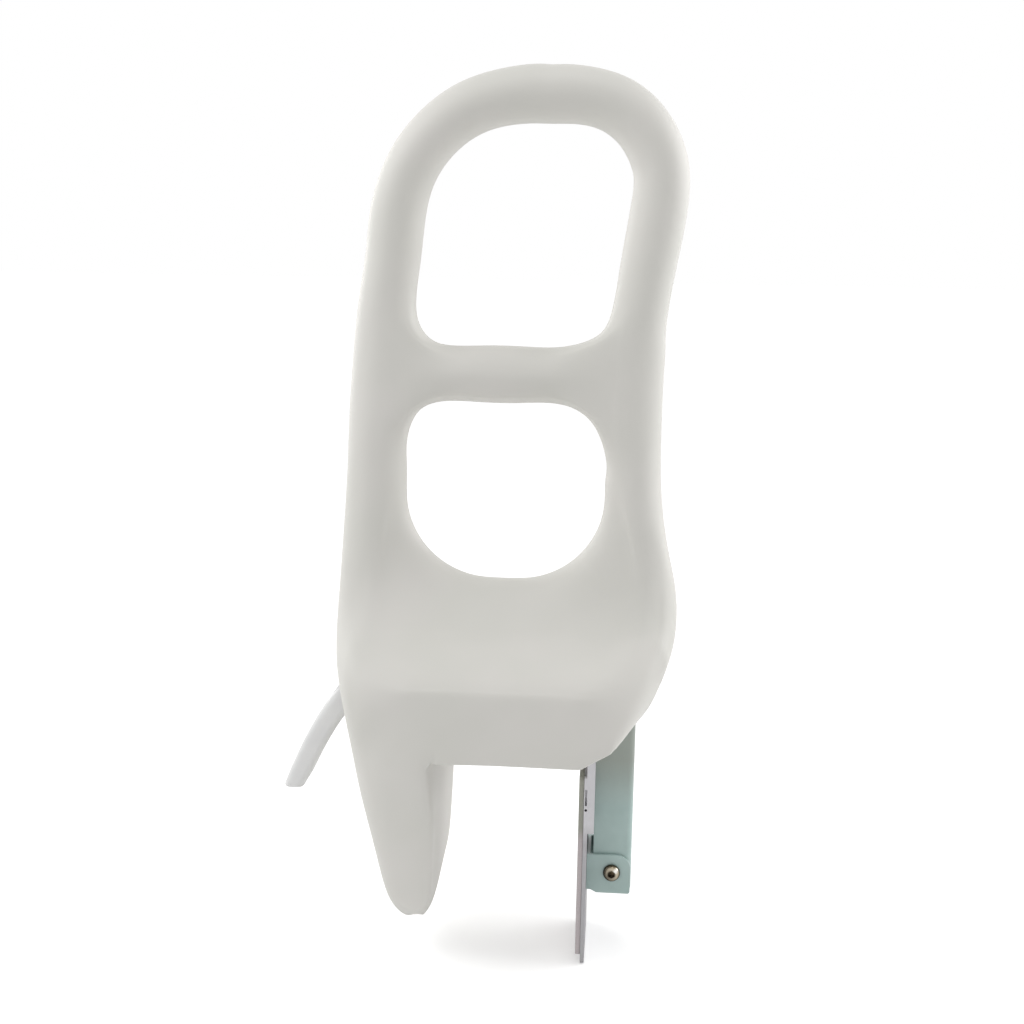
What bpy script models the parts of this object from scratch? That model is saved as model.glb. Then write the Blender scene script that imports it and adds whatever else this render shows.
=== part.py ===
"""Bath safety rail: a moulded hand rail that clamps over the rim of a bath with a screw jaw.

Metres, +Z up. X runs across the bath wall, from the outer leg towards the clamp jaw, and Y
runs along the wall. The origin is on the flat underside that rests on the rim.
"""

import math

import bmesh
import bpy
import numpy as np
from mathutils import Vector

# Moulded body: the hand loop
RAIL_HEIGHT = 0.3965            # underside to the top of the loop
GRIP_THICKNESS = 0.0325         # upper loop, seen from the front
GRIP_DEPTH = 0.036              # every hand bar, front to back
TOP_LEFT_THINNING = 0.0018      # the loop is this much thinner in its wide corner
SIDE_THICKNESS = 0.035          # side bars beside the lower opening, seen from the front
MID_BAR_THICKNESS = 0.0335      # lower hand bar, seen from the front
MID_BAR_Z = 0.2205
MID_BAR_DEPTH = 0.0345          # lower hand bar, front to back
UPPER_LEFT_X = -0.0455          # sides of the upper opening, where they meet the lower hand bar
UPPER_RIGHT_X = 0.0690
UPPER_LEFT_LEAN = 0.111         # X per Z
UPPER_RIGHT_LEAN = 0.150
UPPER_TOP_LEFT_RADIUS = 0.058
UPPER_TOP_RIGHT_RADIUS = 0.034
UPPER_LOW_LEFT_RADIUS = 0.020
UPPER_LOW_RIGHT_RADIUS = 0.027
LOWER_LEFT_X = -0.0478          # sides of the lower opening
LOWER_RIGHT_X = 0.0712
LOWER_FLOOR_Z = 0.0975
LOWER_TOP_LEFT_RADIUS = 0.023
LOWER_TOP_RIGHT_RADIUS = 0.032
LOWER_FLOOR_RADIUS = 0.0515

# How far the side bars' outer lines stand out from straight ones, beside the lower opening
LEFT_LINE = (-0.0022, -0.0008, 0.0, 0.0010, 0.0022, 0.0035)     # from the base up
LEFT_LINE_LEVELS = (0.138, 0.160)                               # of its two lowest points
RIGHT_LINE = (-0.0020, -0.0025, -0.0027, -0.0025, -0.0006)      # from the upper bar down
RIGHT_LINE_LEVEL = 0.145                                        # of its lowest point

# Moulded body: the base and the outer leg
BASE_DEPTH = 0.120              # along the bath wall
BASE_LEFT_X = -0.0884           # the base's widest points
BASE_RIGHT_X = 0.1160
BASE_FACE_TOP = 0.0455          # level of the front face's upper edge
FLARE_TOP = 0.125               # where the base starts to flare forwards
FLARE_POWER = 3.0               # how late it does so
BASE_CORNER = 0.027             # plan radius at the outer leg
BASE_JAW_CORNER = 0.024         # plan radius at the jaw end
FLAT_END_X = 0.0640             # where the underside starts to curve up
LEG_INNER_X = -0.0244           # the leg's face against the outside of the bath
LEG_LENGTH = 0.119
LEG_DRAFT = 0.008               # lean of that face, X per Z
LEG_TIP_THICKNESS = 0.0115
LEG_TIP_SETBACK = 0.0085        # how far the rounded tip stands back from that face

# The base's outline below its widest points: how far in from them, at which level
LEFT_OUTLINE = ((0.0016, 0.112), (0.0, 0.082), (0.0008, 0.057), (0.0052, 0.036), (0.0131, 0.0))
RIGHT_OUTLINE = ((0.0060, 0.118), (0.0004, 0.092), (0.0008, 0.065), (0.0090, 0.043), (0.0222, 0.0190))

# Rows of the base: below the opening's floor, and above the level where the front face starts
SHELF_DROPS = (0.0, 0.0025, 0.0115, 0.0285)
FACE_RISES = (0.0160, 0.0060, -0.0020, -0.0110)

LEG_EDGE = 0.35                 # crispness of the leg's edges along the bath, up to 1

# Levels of the leg, as shares: drop, taper of the outer face, set-back of the inner face, then the
# half-width and further drop of its middle, intermediate and edge rows
LEG_LEVELS = (
    (0.26, 0.19, 0.0, ((0.0, 0.0), (0.50, 0.0), (0.945, 0.0))),
    (0.54, 0.48, 0.03, ((0.0, 0.01), (0.46, 0.01), (0.865, 0.0))),
    (0.765, 0.74, 0.22, ((0.0, 0.09), (0.42, 0.065), (0.765, 0.0))),
    (0.87, 1.0, 1.0, ((0.0, 0.13), (0.36, 0.073), (0.60, 0.0))),
)

# Screw and handle, on one axis along X
CLEARANCE = 0.0003              # between neighbouring pieces
SCREW_Z = 0.030
SCREW_DIAMETER = 0.010
SCREW_LEAD = 0.006              # travel of the jaw for one turn, two starts
THREAD_DEPTH = 0.0011
SCREW_CHAMFER = 0.001
SCREW_END_GAP = 0.002           # screw's end inside the guide channel's end
SEAT_X = -0.0705                # floor of the dished pocket that the handle turns in
SEAT_DIAMETER = 0.026           # its floor, and then a cone at 45 degrees
SEAT_WALL = 0.0035
BUSH_OUTER = 0.014
BUSH_FLANGE = 0.022
BUSH_FLANGE_THICKNESS = 0.0016
BUSH_LENGTH = 0.022
WASHER_THICKNESS = 0.001
COLLAR_DIAMETER = 0.018
COLLAR_WIDTH = 0.003
HUB_DIAMETER = 0.024
HUB_LENGTH = 0.011
HUB_CHAMFER = 0.001
PIN_DIAMETER = 0.004
PIN_SETBACK = 0.0015            # pin's ends inside the hub's surface
CAP_DIAMETER = 0.019
CAP_THICKNESS = 0.0018
CAP_CHAMFER = 0.0012
LEVER_WIDTH = 0.024             # at the hub, along the bath wall
LEVER_TIP_WIDTH = 0.019
LEVER_THICKNESS = 0.0145
LEVER_TIP_THICKNESS = 0.0125
LEVER_EDGE_RADIUS = 0.0042
LEVER_TIP_STEPS = ((0.0014, 0.0012), (0.0022, 0.0032))  # rounded end: onwards, inwards
LEVER_PATH = (                  # middle line of the lever: X, distance from the screw axis
    (-0.0775, -0.0020),
    (-0.0832, 0.0072),
    (-0.0932, 0.0212),
    (-0.1040, 0.0402),
    (-0.1130, 0.0592),
    (-0.1166, 0.0668),
)

# Guide channel inside the base
SHEET = 0.0025                  # channel steel
GUIDE_LEFT_X = 0.004
GUIDE_RIGHT_X = 0.0885
GUIDE_BOTTOM_Z = 0.019
GUIDE_TOP_Z = 0.048
GUIDE_WIDTH = 0.038
GUIDE_LIP_GAP = 0.0284
GUIDE_END_GAP = 0.002           # the cavity goes on this far past the channel
GUIDE_SCREW_XS = (0.020, 0.078)
GUIDE_SCREW_DIAMETER = 0.004
GUIDE_SCREW_HEAD = (0.0072, 0.0022)     # diameter and height
GUIDE_SCREW_LENGTH = 0.014
GUIDE_SCREW_END_GAP = 0.001     # its hole is this much deeper
SLOT_LEFT_X = 0.022             # slot in the underside that the arm runs in
SLOT_WIDTH = 0.034
SLOT_ROOF_Z = 0.024

# Sliding nut block and the clamp arm
BLOCK_LEFT_X = 0.050
BLOCK_LENGTH = 0.034
BLOCK_PLAY = 0.0005             # between the block and the channel
BLOCK_GROOVE_GAP = 0.0008       # round the screw heads that pass through the block's groove
TONGUE_DROP = 0.014             # how far the block's tongue reaches below the underside
ARM_LEFT_X = 0.0705
ARM_RIGHT_X = 0.0940
ARM_TOP_Z = 0.0205
ARM_WIDTH = 0.027
ARM_SHEET = 0.002
ARM_FOLD_RADIUS = 0.0035
RIVET_DIAMETER = 0.005
RIVET_HEAD = (0.0085, 0.0014, 0.0006)   # diameter, height, height of its straight rim
RIVET_PLACES = ((0.0778, 0.0142), (0.0778, 0.0044))

# Clamp plate, its pivot and its pad
PIVOT_X = 0.0821
PIVOT_Z = -0.081
BOLT_DIAMETER = 0.006
BOLT_HEAD_DIAMETER = 0.0105
BOLT_HEAD_HEIGHT = 0.0033
BOLT_END = 0.0015               # the bolt shows this much past its nut
BOLT_CHAMFER = 0.0008
SPACER_DIAMETER = 0.010
NUT_ACROSS = 0.010              # across the flats
NUT_HEIGHT = 0.005
NUT_WASHER_DIAMETER = 0.012
PAD_FACE_X = 0.0613
PAD_THICKNESS = 0.0028
PAD_INSET = 0.0010              # pad edge inside the plate edge
PAD_BOTTOM_Z = -0.1300
PLATE_THICKNESS = 0.0024
PLATE_WIDTH = 0.060
PLATE_TOP_Z = -0.0150
PLATE_BOTTOM_Z = -0.1350
PLATE_CORNER = 0.0025
FLANGE_SHEET = 0.002            # stiffening flanges folded back from the plate's upper sides
FLANGE_RIGHT_X = 0.0708
FLANGE_BOTTOM_Z = -0.0510
FLANGE_TOP_Z = -0.0045           # each ends in an ear above the plate's top
FLANGE_EAR_X = 0.0660
FLANGE_CORNER = 0.001
FLANGE_SLOT = (0.0012, 0.010)   # width and height of the slot in each fold
FLANGE_SLOT_DEPTH = 0.006       # of the slot and the hole under it
FLANGE_SLOT_TOP_Z = -0.0234
FLANGE_HOLE_Z = -0.0362
FLANGE_HOLE_DIAMETER = 0.0016
BRACKET_SHEET = 0.002           # U bracket on the plate's back that straddles the arm
BRACKET_RIGHT_X = 0.0935
BRACKET_TOP_Z = -0.0700
BRACKET_BOTTOM_Z = -0.0945
BRACKET_TOP_CORNER = 0.0085
BRACKET_LOW_CORNER = 0.0015
BRACKET_STEP = (0.0062, 0.0019) # cut-back corner at the plate, along X and Z
STUD_ZS = (-0.028, -0.112)
STUD_DIAMETER = 0.0045
STUD_HEAD_DIAMETER = 0.010
STUD_HEAD_HEIGHT = 0.0012
STUD_SUNK = 0.0004              # head below the pad's face

ROWS = 10                       # cage rows from a bar's inner edge to its outer edge, on one side
MID_BAR_ROWS = 3                # how many of them the lower hand bar joins, each side of the middle


def clear_scene():
    """Remove whatever the file opened with."""
    for thing in list(bpy.data.objects):
        bpy.data.objects.remove(thing, do_unlink=True)


def finish(name, colour, roughness, metallic=0.0):
    """A Principled material from an sRGB hex colour."""
    srgb = [int(colour[i : i + 2], 16) / 255 for i in (1, 3, 5)]
    linear = [c / 12.92 if c <= 0.04045 else ((c + 0.055) / 1.055) ** 2.4 for c in srgb]
    made = bpy.data.materials.new(name)
    made.use_nodes = True
    shader = made.node_tree.nodes["Principled BSDF"]
    shader.inputs["Base Color"].default_value = (*linear, 1.0)
    shader.inputs["Roughness"].default_value = roughness
    shader.inputs["Metallic"].default_value = metallic
    made.diffuse_color = (*linear, 1.0)
    return made


def add_object(name, bm, material):
    """A named object from a bmesh, shaded smooth between sharp edges."""
    bmesh.ops.recalc_face_normals(bm, faces=bm.faces)
    mesh = bpy.data.meshes.new(name)
    bm.to_mesh(mesh)
    bm.free()
    mesh.shade_smooth()
    mesh.set_sharp_from_angle(angle=math.radians(35))
    made = bpy.data.objects.new(name, mesh)
    bpy.context.scene.collection.objects.link(made)
    if material is not None:
        mesh.materials.append(material)
    return made


def rounded_corner(before, corner, after, radius, steps):
    """(point, outward normal) pairs along one rounded corner of an opening."""
    before, corner, after = np.array(before), np.array(corner), np.array(after)
    towards = (before - corner) / np.linalg.norm(before - corner)
    onwards = (after - corner) / np.linalg.norm(after - corner)
    half = math.acos(float(towards @ onwards)) / 2
    middle = (towards + onwards) / np.linalg.norm(towards + onwards)
    centre = corner + middle * radius / math.sin(half)
    start = corner + towards * radius / math.tan(half) - centre
    end = corner + onwards * radius / math.tan(half) - centre
    first = math.atan2(start[1], start[0])
    sweep = (math.atan2(end[1], end[0]) - first + math.pi) % (2 * math.pi) - math.pi
    turned = [first + sweep * k / steps for k in range(steps + 1)]
    spokes = [np.array((math.cos(angle), math.sin(angle))) for angle in turned]
    return [(centre + radius * spoke, spoke) for spoke in spokes]


def rail_stations():
    """Sections round the whole loop, clockwise: inner point, outer point, how far it is base, and
    the power that squares a bar where the lower hand bar joins it."""
    mid_top = MID_BAR_Z + MID_BAR_THICKNESS / 2
    mid_low = MID_BAR_Z - MID_BAR_THICKNESS / 2
    top = RAIL_HEIGHT - GRIP_THICKNESS
    rise = top - mid_top
    upper = [
        (UPPER_LEFT_X, mid_top),
        (UPPER_LEFT_X + UPPER_LEFT_LEAN * rise, top),
        (UPPER_RIGHT_X + UPPER_RIGHT_LEAN * rise, top),
        (UPPER_RIGHT_X, mid_top),
    ]
    lower = [
        (LOWER_LEFT_X, LOWER_FLOOR_Z),
        (LOWER_LEFT_X, mid_low),
        (LOWER_RIGHT_X, mid_low),
        (LOWER_RIGHT_X, LOWER_FLOOR_Z),
    ]
    up_left = rounded_corner(upper[3], upper[0], upper[1], UPPER_LOW_LEFT_RADIUS, 2)
    top_left = rounded_corner(upper[0], upper[1], upper[2], UPPER_TOP_LEFT_RADIUS, 4)
    top_right = rounded_corner(upper[1], upper[2], upper[3], UPPER_TOP_RIGHT_RADIUS, 4)
    up_right = rounded_corner(upper[2], upper[3], upper[0], UPPER_LOW_RIGHT_RADIUS, 2)
    low_left = rounded_corner(lower[0], lower[1], lower[2], LOWER_TOP_LEFT_RADIUS, 2)
    low_right = rounded_corner(lower[1], lower[2], lower[3], LOWER_TOP_RIGHT_RADIUS, 2)
    floor_right = rounded_corner(lower[2], lower[3], lower[0], LOWER_FLOOR_RADIUS, 7)
    floor_left = rounded_corner(lower[3], lower[0], lower[1], LOWER_FLOOR_RADIUS, 7)

    left_x = LOWER_LEFT_X - SIDE_THICKNESS
    right_x = LOWER_RIGHT_X + SIDE_THICKNESS
    left_base = [(BASE_LEFT_X + inset, level) for inset, level in LEFT_OUTLINE]
    right_base = [(BASE_RIGHT_X - inset, level) for inset, level in RIGHT_OUTLINE]

    def at(pair):
        return pair[0]

    def between(first, second, share):
        return first + (second - first) * share

    def bar(pair, thickness, power=1.0):
        return (pair[0], pair[0] + pair[1] * thickness, 0.0, power)

    def side(inner, outer_x, outer_z, power=1.0):
        return (inner, np.array((outer_x, outer_z)), 0.0, power)

    # Up the left side, from the leg
    blends = (0.06, 0.28, 0.65, 0.92, 1.0)
    loop = []
    for pair, outer, blend in zip(floor_left[2:7][::-1], left_base, blends):
        loop.insert(0, (at(pair), np.array(outer), blend, 1.0))
    line = [left_x + out for out in LEFT_LINE]
    loop.append(side(at(floor_left[7]), line[0], LEFT_LINE_LEVELS[0]))
    beside = between(at(floor_left[7]), at(low_left[0]), 0.5)
    loop.append(side(beside, line[1], LEFT_LINE_LEVELS[1]))
    loop.append(side(at(low_left[0]), line[2], at(low_left[0])[1], 0.75))
    loop.append(side(at(low_left[1]), line[3], mid_low, 0.40))
    middle = np.array((between(at(low_left[1])[0], at(up_left[1])[0], 0.5), MID_BAR_Z))
    loop.append(side(middle, line[4], MID_BAR_Z, 0.15))
    left_index = len(loop) - 1
    loop.append(side(at(up_left[1]), line[5], mid_top, 0.40))
    loop.append(bar(up_left[2], (SIDE_THICKNESS + GRIP_THICKNESS) / 2, 0.75))
    pair = (between(up_left[2][0], top_left[0][0], 0.5), up_left[2][1])
    loop.append(bar(pair, GRIP_THICKNESS))
    for k, pair in enumerate(top_left):
        thinning = TOP_LEFT_THINNING * math.sin(math.pi * k / (len(top_left) - 1))
        loop.append(bar(pair, GRIP_THICKNESS - thinning))
    pair = (between(top_left[-1][0], top_right[0][0], 0.5), top_right[0][1])
    loop.append(bar(pair, GRIP_THICKNESS))
    loop.extend(bar(pair, GRIP_THICKNESS) for pair in top_right)
    pair = (between(top_right[-1][0], up_right[0][0], 0.5), up_right[0][1])
    loop.append(bar(pair, GRIP_THICKNESS))
    loop.append(bar(up_right[0], GRIP_THICKNESS, 0.75))
    line = [right_x + out for out in RIGHT_LINE]
    loop.append(side(at(up_right[1]), line[0], mid_top, 0.40))
    right_index = len(loop)
    middle = np.array((between(at(low_right[1])[0], at(up_right[1])[0], 0.5), MID_BAR_Z))
    loop.append(side(middle, line[1], MID_BAR_Z, 0.15))
    loop.append(side(at(low_right[1]), line[2], mid_low, 0.40))
    loop.append(side(at(low_right[2]), line[3], at(low_right[2])[1], 0.75))
    beside = between(at(low_right[2]), at(floor_right[0]), 0.5)
    loop.append(side(beside, line[4], RIGHT_LINE_LEVEL))
    blends = (0.12, 0.35, 0.75, 0.95, 1.0)
    for pair, outer, blend in zip(floor_right[0:5], right_base, blends):
        loop.append((at(pair), np.array(outer), blend, 1.0))
    bottoms = [between(FLAT_END_X, LEG_INNER_X, k / 3) for k in range(4)]
    partners = [at(pair) for pair in floor_right[5:8]] + [at(floor_left[0])]
    for inner, x in zip(partners, bottoms):
        loop.append((inner, np.array((x, 0.0)), 1.0, 1.0))
    leg_end = len(loop) - 1
    leg_middle = (LEG_INNER_X + left_base[-1][0]) / 2
    loop.append((at(floor_left[1]), np.array((leg_middle, 0.0)), 1.0, 1.0))
    return loop, left_index, right_index, leg_end, left_base, right_base


def flare(level):
    """Half the body's depth at a level: a sweep from the hand bars out to the front face."""
    bar = GRIP_DEPTH / 2
    reach = BASE_DEPTH / 2 - bar
    share = min(max((level - BASE_FACE_TOP) / (FLARE_TOP - BASE_FACE_TOP), 0.0), 1.0)
    return bar + reach * (1 - share) ** FLARE_POWER


def section_rows(inner, outer, blend, power, left_base, right_base):
    """Front half of one section, from the inner edge to the outer edge: round bar or flared base."""
    height = inner[1]
    levels = [height - drop for drop in SHELF_DROPS]
    levels += [BASE_FACE_TOP + rise for rise in FACE_RISES]
    levels += [outer[1]] * 3
    caps = (1.0, 1.0, 1.0, 1.0, 0.62, 0.70, 0.78, 0.87, 1.0, 1.0, 1.0)
    fullness = (0.0, 0.45, 0.80, 0.97, 1.0, 1.0, 0.962, 1.0, 1.0, 0.53, 0.0)
    points = []
    for row in range(ROWS + 1):
        angle = math.pi * row / ROWS
        share = (1 - math.cos(angle)) / 2
        full = max(math.sin(angle), 0.0) ** (power if share < 0.5 else 1.0)
        if blend > 0:
            based = min((height - levels[row]) / (height - outer[1]), caps[row])
            share += (based - share) * blend
            full += (fullness[row] - full) * blend
        x, z = inner + (outer - inner) * share
        y = flare(z) * full
        if blend > 0.3:
            x, y = round_plan(x, y, z, left_base, right_base)
        points.append((x, -y, z))
    return points


def round_plan(x, y, z, left_base, right_base):
    """Pull a base point in to the plan radius of the nearer corner."""
    levels_left = [p[1] for p in left_base[::-1]]
    levels_right = [0.0] + [p[1] for p in right_base[::-1]]
    edge_left = np.interp(z, levels_left, [p[0] for p in left_base[::-1]])
    edge_right = np.interp(z, levels_right, [FLAT_END_X] + [p[0] for p in right_base[::-1]])
    depth = flare(z)
    if x < 0:
        edge, side = edge_left, -1
        radius = min(BASE_CORNER, depth)
    else:
        edge, side = edge_right, 1
        radius = min(BASE_JAW_CORNER * min(max(z / BASE_FACE_TOP, 0.1), 1.0), depth)
    centre_x = edge - side * radius
    centre_y = depth - radius
    dx = (x - centre_x) * side
    dy = y - centre_y
    if dx > 0 and dy > 0:
        reach = math.hypot(dx, dy)
        if reach > radius:
            dx *= radius / reach
            dy *= radius / reach
    return centre_x + side * dx, centre_y + dy


def seat_on_surface(cage, rounds=3):
    """Push a cage out until its subdivision surface passes through the points it was drawn with."""
    drawn = np.array([v.co[:] for v in cage.data.vertices])
    placed = drawn.copy()
    for _ in range(rounds):
        graph = bpy.context.evaluated_depsgraph_get()
        smooth = cage.evaluated_get(graph).data
        reached = np.array([smooth.vertices[i].co[:] for i in range(len(drawn))])
        placed += drawn - reached
        cage.data.vertices.foreach_set("co", placed.ravel())
        cage.data.update()


def rail_cage():
    """The body's subdivision cage: the loop's sections, the lower hand bar and the leg."""
    loop, left_index, right_index, leg_end, left_base, right_base = rail_stations()
    bm = bmesh.new()
    sharp = bm.edges.layers.float.new("crease_edge")
    rings = []
    for inner, outer, blend, power in loop:
        front = section_rows(inner, outer, blend, power, left_base, right_base)
        back = [(x, -y, z) for x, y, z in front[-2:0:-1]]
        rings.append([bm.verts.new(p) for p in front + back])
    around = len(rings[0])
    count = len(rings)

    def quad(*corners):
        return bm.faces.new(corners)

    holes = set()
    for start in (left_index - 1, right_index - 1):
        for k in (start, start + 1):
            for row in range(-MID_BAR_ROWS, MID_BAR_ROWS):
                holes.add((k, row % around))
    leg_faces = []
    for k in range(count):
        for row in range(around):
            if (k, row) in holes:
                continue
            after = (k + 1) % count
            step = (row + 1) % around
            face = quad(rings[k][row], rings[after][row], rings[after][step], rings[k][step])
            if leg_end <= k < leg_end + 2 and ROWS - 2 <= row < ROWS + 2:
                leg_faces.append(face)
    for k in (left_index, right_index):
        for row in range(1 - MID_BAR_ROWS, MID_BAR_ROWS):
            bm.verts.remove(rings[k][row])

    # The lower hand bar, bridged between the holes left in the side bars
    rows = list(range(-MID_BAR_ROWS, MID_BAR_ROWS + 1))
    left_top, left_mid, left_low = (rings[left_index + k] for k in (1, 0, -1))
    right_top, right_mid, right_low = (rings[right_index + k] for k in (-1, 0, 1))
    first = [left_top[r] for r in rows] + [left_mid[MID_BAR_ROWS]]
    first += [left_low[r] for r in rows[::-1]] + [left_mid[-MID_BAR_ROWS]]
    last = [right_top[r] for r in rows] + [right_mid[MID_BAR_ROWS]]
    last += [right_low[r] for r in rows[::-1]] + [right_mid[-MID_BAR_ROWS]]
    angles = [math.pi * r / ROWS for r in rows] + [math.pi / 2]
    angles += [math.pi - math.pi * r / ROWS for r in rows[::-1]] + [-math.pi / 2]
    starts = UPPER_LEFT_X + UPPER_LOW_LEFT_RADIUS
    ends = UPPER_RIGHT_X - UPPER_LOW_RIGHT_RADIUS
    previous = first
    for k in range(4):
        x = starts + (ends - starts) * k / 3
        ring = []
        for angle in angles:
            y = -math.sin(angle) * MID_BAR_DEPTH / 2
            z = MID_BAR_Z + math.cos(angle) * MID_BAR_THICKNESS / 2
            ring.append(bm.verts.new((x, y, z)))
        for i in range(len(ring)):
            j = (i + 1) % len(ring)
            quad(previous[i], ring[i], ring[j], previous[j])
        previous = ring
    for i in range(len(previous)):
        j = (i + 1) % len(previous)
        quad(previous[i], last[i], last[j], previous[j])

    # The leg, drawn down from the underside
    bmesh.ops.delete(bm, geom=leg_faces, context="FACES_ONLY")
    columns = [rings[leg_end], rings[leg_end + 1], rings[(leg_end + 2) % count]]
    spots = range(ROWS - 2, ROWS + 3)
    grid = [[ring[spot] for spot in spots] for ring in columns]
    top_x = left_base[-1][0]
    inner_tip = LEG_INNER_X - LEG_DRAFT * LEG_LENGTH - LEG_TIP_SETBACK
    outer_tip = inner_tip - LEG_TIP_THICKNESS
    half = BASE_DEPTH / 2
    for drop, taper, setback, outline in LEG_LEVELS:
        lower = []
        for c in range(3):
            line = []
            for s in range(5):
                width, extra = outline[abs(s - 2)]
                level = -LEG_LENGTH * (drop + extra)
                inner_x = LEG_INNER_X + LEG_DRAFT * level - LEG_TIP_SETBACK * setback
                outer_x = top_x + (outer_tip - top_x) * taper
                x = inner_x + (outer_x - inner_x) * c / 2
                y = math.copysign(half * width, s - 2)
                if c == 2 and abs(s - 2) == 2:
                    x += BASE_CORNER * 0.29 * (1 - taper)
                    y -= math.copysign(BASE_CORNER * 0.29 * (1 - 0.5 * taper), y)
                line.append(bm.verts.new((x, y, level)))
            lower.append(line)
        join_leg(bm, grid, lower)
        for s in (0, 4):
            crease(bm, sharp, grid[0][s], lower[0][s], LEG_EDGE)
        grid = lower
    for c in range(2):
        for s in range(4):
            quad(grid[c][s], grid[c + 1][s], grid[c + 1][s + 1], grid[c][s + 1])
    for s in range(4):
        crease(bm, sharp, grid[0][s], grid[0][s + 1], 1.0)
        crease(bm, sharp, columns[0][spots[s]], columns[0][spots[s + 1]], 1.0)

    # The rim of the underside is a crisp edge that fades as the jaw end curves up
    for row in (ROWS - 2, ROWS + 2):
        for k, amount in zip(range(leg_end - 6, leg_end), (0.2, 0.32, 0.42, 1.0, 1.0, 1.0)):
            crease(bm, sharp, rings[k][row], rings[k + 1][row], amount)
    for row in range(ROWS - 2, ROWS + 2):
        crease(bm, sharp, rings[leg_end - 3][row], rings[leg_end - 3][row + 1], 1.0)
    for v in [v for v in bm.verts if not v.link_faces]:
        bm.verts.remove(v)
    bmesh.ops.recalc_face_normals(bm, faces=bm.faces)
    return bm


def crease(bm, layer, first, second, amount):
    """Sharpen the cage edge between two points."""
    edge = bm.edges.get((first, second))
    edge[layer] = amount


def join_leg(bm, upper, lower):
    """Side walls of the leg between two levels of its grid."""
    walls = []
    for grid in (upper, lower):
        wall = list(grid[0])
        wall += [grid[1][4], grid[2][4]]
        wall += [grid[2][s] for s in (3, 2, 1, 0)]
        wall.append(grid[1][0])
        walls.append(wall)
    above, below = walls
    for i in range(len(above)):
        j = (i + 1) % len(above)
        bm.faces.new((above[i], above[j], below[j], below[i]))


def loose_mesh(name, bm):
    """An object without a material, used as a cutter or as stock for a Boolean."""
    made = add_object(name, bm, None)
    made.hide_render = True
    made.display_type = "WIRE"
    return made


def combine(target, tool, operation):
    """Cut a tool from a piece, or join it on."""
    modifier = target.modifiers.new(operation.lower(), "BOOLEAN")
    modifier.operation = operation
    modifier.object = tool
    modifier.solver = "EXACT"


def box(bm, low, high):
    """A box between two corners."""
    made = bmesh.ops.create_cube(bm, size=1.0)["verts"]
    low, high = Vector(low), Vector(high)
    for vert in made:
        for axis in range(3):
            vert.co[axis] = low[axis] if vert.co[axis] < 0 else high[axis]
    return made


def turned(bm, profile, centre, axis, steps=18):
    """A solid turned about X or Y through a centre, from (place along the axis, radius) pairs."""
    rings = []
    for place, radius in profile:
        ring = []
        for k in range(steps):
            angle = 2 * math.pi * (k + 0.5) / steps
            across = radius * math.cos(angle)
            up = radius * math.sin(angle)
            if axis == "X":
                ring.append(bm.verts.new((place, centre[1] + across, centre[2] + up)))
            else:
                ring.append(bm.verts.new((centre[0] + across, place, centre[2] + up)))
        rings.append(ring)
    closed = profile[0] == profile[-1]
    if closed:
        for vert in rings.pop():
            bm.verts.remove(vert)
    pairs = list(zip(rings, rings[1:]))
    if closed:
        pairs.append((rings[-1], rings[0]))
    else:
        bm.faces.new(rings[0])
        bm.faces.new(rings[-1])
    for one, two in pairs:
        for k in range(steps):
            after = (k + 1) % steps
            bm.faces.new((one[k], one[after], two[after], two[k]))


def turned_object(name, profile, centre, axis, material, steps=18):
    """A turned piece with its origin at the centre of its axis."""
    bm = bmesh.new()
    turned(bm, profile, (0.0, 0.0, 0.0), axis, steps)
    made = add_object(name, bm, material)
    made.location = centre
    return made


def circle(x, y, radius, steps=16):
    """A round outline."""
    turns = [2 * math.pi * (k + 0.5) / steps for k in range(steps)]
    return [(x + radius * math.cos(turn), y + radius * math.sin(turn)) for turn in turns]


def slab(bm, outline, axis, first, last):
    """A flat outline extruded along X (outline in Y, Z), Y (in X, Z) or Z (in X, Y)."""
    order = {"X": (2, 0, 1), "Y": (0, 2, 1), "Z": (0, 1, 2)}[axis]
    ends = []
    for place in (first, last):
        points = [(a, b, place) for a, b in outline]
        ends.append([bm.verts.new([point[i] for i in order]) for point in points])
    bm.faces.new(ends[0])
    bm.faces.new(ends[1])
    for k in range(len(outline)):
        after = (k + 1) % len(outline)
        bm.faces.new((ends[0][k], ends[0][after], ends[1][after], ends[1][k]))


def rounded_outline(corners, steps=5):
    """A closed outline whose corners, given as (x, z, radius), are rounded."""
    outline = []
    for k, (x, z, radius) in enumerate(corners):
        before = corners[k - 1]
        after = corners[(k + 1) % len(corners)]
        if radius == 0:
            outline.append((x, z))
            continue
        arc = rounded_corner(before[:2], (x, z), after[:2], radius, steps)
        outline.extend(tuple(point) for point, _ in arc)
    return outline


def pivot_empty(name, place):
    """An empty that marks a joint and carries the pieces that move with it."""
    made = bpy.data.objects.new(name, None)
    made.location = place
    made.empty_display_size = 0.01
    bpy.context.scene.collection.objects.link(made)
    return made


def carry(parent, *pieces):
    """Parent pieces to an empty without moving them."""
    bpy.context.view_layer.update()
    for piece in pieces:
        piece.parent = parent
        piece.matrix_parent_inverse = parent.matrix_world.inverted()


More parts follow.
